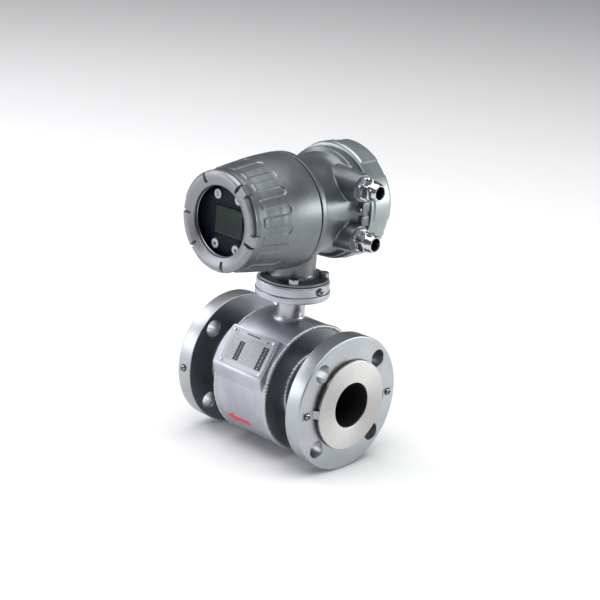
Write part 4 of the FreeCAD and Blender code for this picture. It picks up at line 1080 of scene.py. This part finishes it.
def make_foot_bolts():
    """Four hexagon bolts, each on its washer, that hold the head on its foot."""
    for index in range(4):
        angle = math.radians(45 + 90 * index)
        spot = (FOOT_CIRCLE * math.cos(angle), FOOT_CIRCLE * math.sin(angle), 0)
        shape = bmesh.new()
        hex_head(shape, spot, 120.1, 4.2, 10, 8 + 31 * index)
        lathe(shape, "z", eased([(118.95, 3.1), (118.95, 5.5, 0.3), (120.1, 5.5, 0.4), (120.1, 3.1)], 0.2),
              48, spot)
        lathe(shape, "z", [(108, 0), (108, 3.0), (120.1, 3.0), (120.1, 0)], 24, spot)
        nodes = ["foot_bolts", "foot_washers"] if index == 0 else ()
        finished("foot_bolt_%d" % (index + 1), shape, "fastener_steel", nodes=nodes)


def make_glands():
    """Cable glands: threaded body with a hexagon, and a domed hexagon nut."""
    for which, high in GLANDS.items():
        base = (0, GLAND_ALONG, high)
        thread = [(70.0 + 0.5 * step, 9.9 if step % 2 else 9.4) for step in range(16)]
        outside = [(53.6, 6.6), (53.6, 9.85), (64.4, 9.85), (64.52, 12.0), (64.52, 13.0), (65.1, 13.5),
                   (68.8, 13.5), (69.4, 12.7), (69.6, 11.4), (69.6, 9.9)]
        shape = bmesh.new()
        lathe(shape, "x", outside + thread + [(78, 9.8), (78, 8.7), (70, 8.7), (70, 6.6)], 96, base)
        pinch(shape, "x", base, 64.5, 69.6, 11.7, 14)
        finished("gland_body_%s_plated" % which, shape, "nickel", nodes=["gland_body_" + which])
        nut = [(71.5, 10.1), (71.5, 11.2), (72.1, 12.5), (77.4, 12.5), (78.3, 11.8), (78.9, 10.9),
               (79.3, 10.4), (80.0, 10.2), (82.4, 10.2), (84.0, 9.9), (85.4, 9.4), (86.2, 9.0),
               (86.8, 8.7), (87.2, 8.4), (87.5, 8.0), (87.5, 7.4), (87.2, 7.0), (86.6, 6.8),
               (80.4, 6.8), (80.4, 10.1)]
        shape = bmesh.new()
        lathe(shape, "x", nut, 96, base)
        pinch(shape, "x", base, 71.5, 78.9, 10.8, 4 if which == "upper" else 22)
        finished("gland_nut_%s_plated" % which, shape, "nickel", body=which + "_nut",
                 nodes=["gland_nut_" + which])


def pan_screw(name, axis, base, side, seat, radius, nodes, turn, washer=0.0):
    """Domed screw with painted shade: a black cross for the shade of its recess and a black ring for the
    shadow round its head; an earth screw also sits on a plain washer.
    """
    tall = 2.6
    top = seat + side * tall
    shape = bmesh.new()
    dome = ((0, 0), (0, 1), (0.35, 1), (0.75, 0.86), (0.95, 0.6), (1, 0.3), (1, 0))
    lathe(shape, axis, [(seat + side * tall * up, radius * out) for up, out in dome], 48, base)
    if washer:
        lathe(shape, axis, eased([(seat - side * 1.0, 0), (seat - side * 1.0, washer, 0.2),
                                  (seat - side * 0.3, washer, 0.3), (seat - side * 0.3, 0)], 0.2), 48, base)
    finished(name, shape, "fastener_steel", nodes=nodes)
    # Painted shade: a black ring round the foot of the head for its shadow, and a black cross in its top
    # for the shade in its recess.
    shape = bmesh.new()
    lathe(shape, axis, [(seat - side * 0.3, 0), (seat - side * 0.3, radius + 0.9),
                        (seat + side * 0.5, radius + 0.7), (seat + side * 0.5, 0)], 48, base)
    middle = (Vector(base) + ALONG[axis] * (top - side * tall * 0.2)) * MM
    for arm in (0, 90):
        made = bmesh.ops.create_cube(shape, size=1)["verts"]
        bmesh.ops.scale(shape, verts=made, vec=Vector((tall * 0.5, radius * 1.5, radius * 0.36)) * MM)
        bmesh.ops.rotate(shape, verts=made, matrix=Matrix.Rotation(math.radians(arm + turn), 3, "X"))
        if axis == "y":
            bmesh.ops.rotate(shape, verts=made, matrix=Matrix.Rotation(math.pi / 2, 3, "Z"))
        bmesh.ops.translate(shape, verts=made, vec=middle)
    finished(name + "_recess", shape, "fastener_steel", finish="black_plastic")


def make_screws():
    """Clip screws on both flanges, the earth screw and the rim screw."""
    nodes = ["clip_screws"]
    for end, side in (("inlet", 1), ("outlet", -1)):
        for place, across in (("front", -63.0), ("rear", 63.0)):
            name = "clip_screw_%s_%s" % (end, place)
            pan_screw(name, "x", (0, across, 0), side, side * 94.85, 3.4, nodes, 25 + across)
            nodes = ()
    pan_screw("earth_screw_head", "x", (0, 0, 110), 1, 41.0, 3.6, ["earth_screw"], 20, 4.6)
    pan_screw("rim_screw_head", "y", (-85, 0, 0), -1, -75.0, 3.6, ["rim_screw"], 35, 4.6)


# ---- putting it together


def dress_nodes():
    """Gives each CAD piece its own finish, or that of its slot."""
    slots = {row["node"]: row["material_slot"] for row in frame["record"]["subparts"]}
    for name, thing in frame["nodes"].items():
        thing.data.materials.clear()
        thing.data.materials.append(FINISHES[NODE_FINISHES.get(name, slots[name])])


make_camera()
make_world()
make_floor()
make_finishes()
dress_nodes()
make_front_cover()
make_window_lip_highlight()
make_housing()
make_rear_cover()
make_sensor()
make_bracket()
make_nameplate()
make_arrow()
make_pedestal()
make_foot_bolts()
make_glands()
make_screws()
make_light("top_light", (0.3, -0.5, 3.4), (0.3, -0.4, 0), (4.2, 4.2), 170)
make_light("right_light", (1.45, 1.45, 0.52), (0, 0, 0.18), (0.75, 0.6), 17, (0.97, 1.0, 0.99))
make_light("left_light", (-1.9, -0.55, 1.55), (0, 0, 0.1), (1.0, 0.9), 15, (0.98, 0.97, 1.0))
make_light("front_light", (-1.6, -1.65, 0.6), (0, 0, 0.15), (1.4, 1.0), 17, (0.97, 0.96, 1.0))
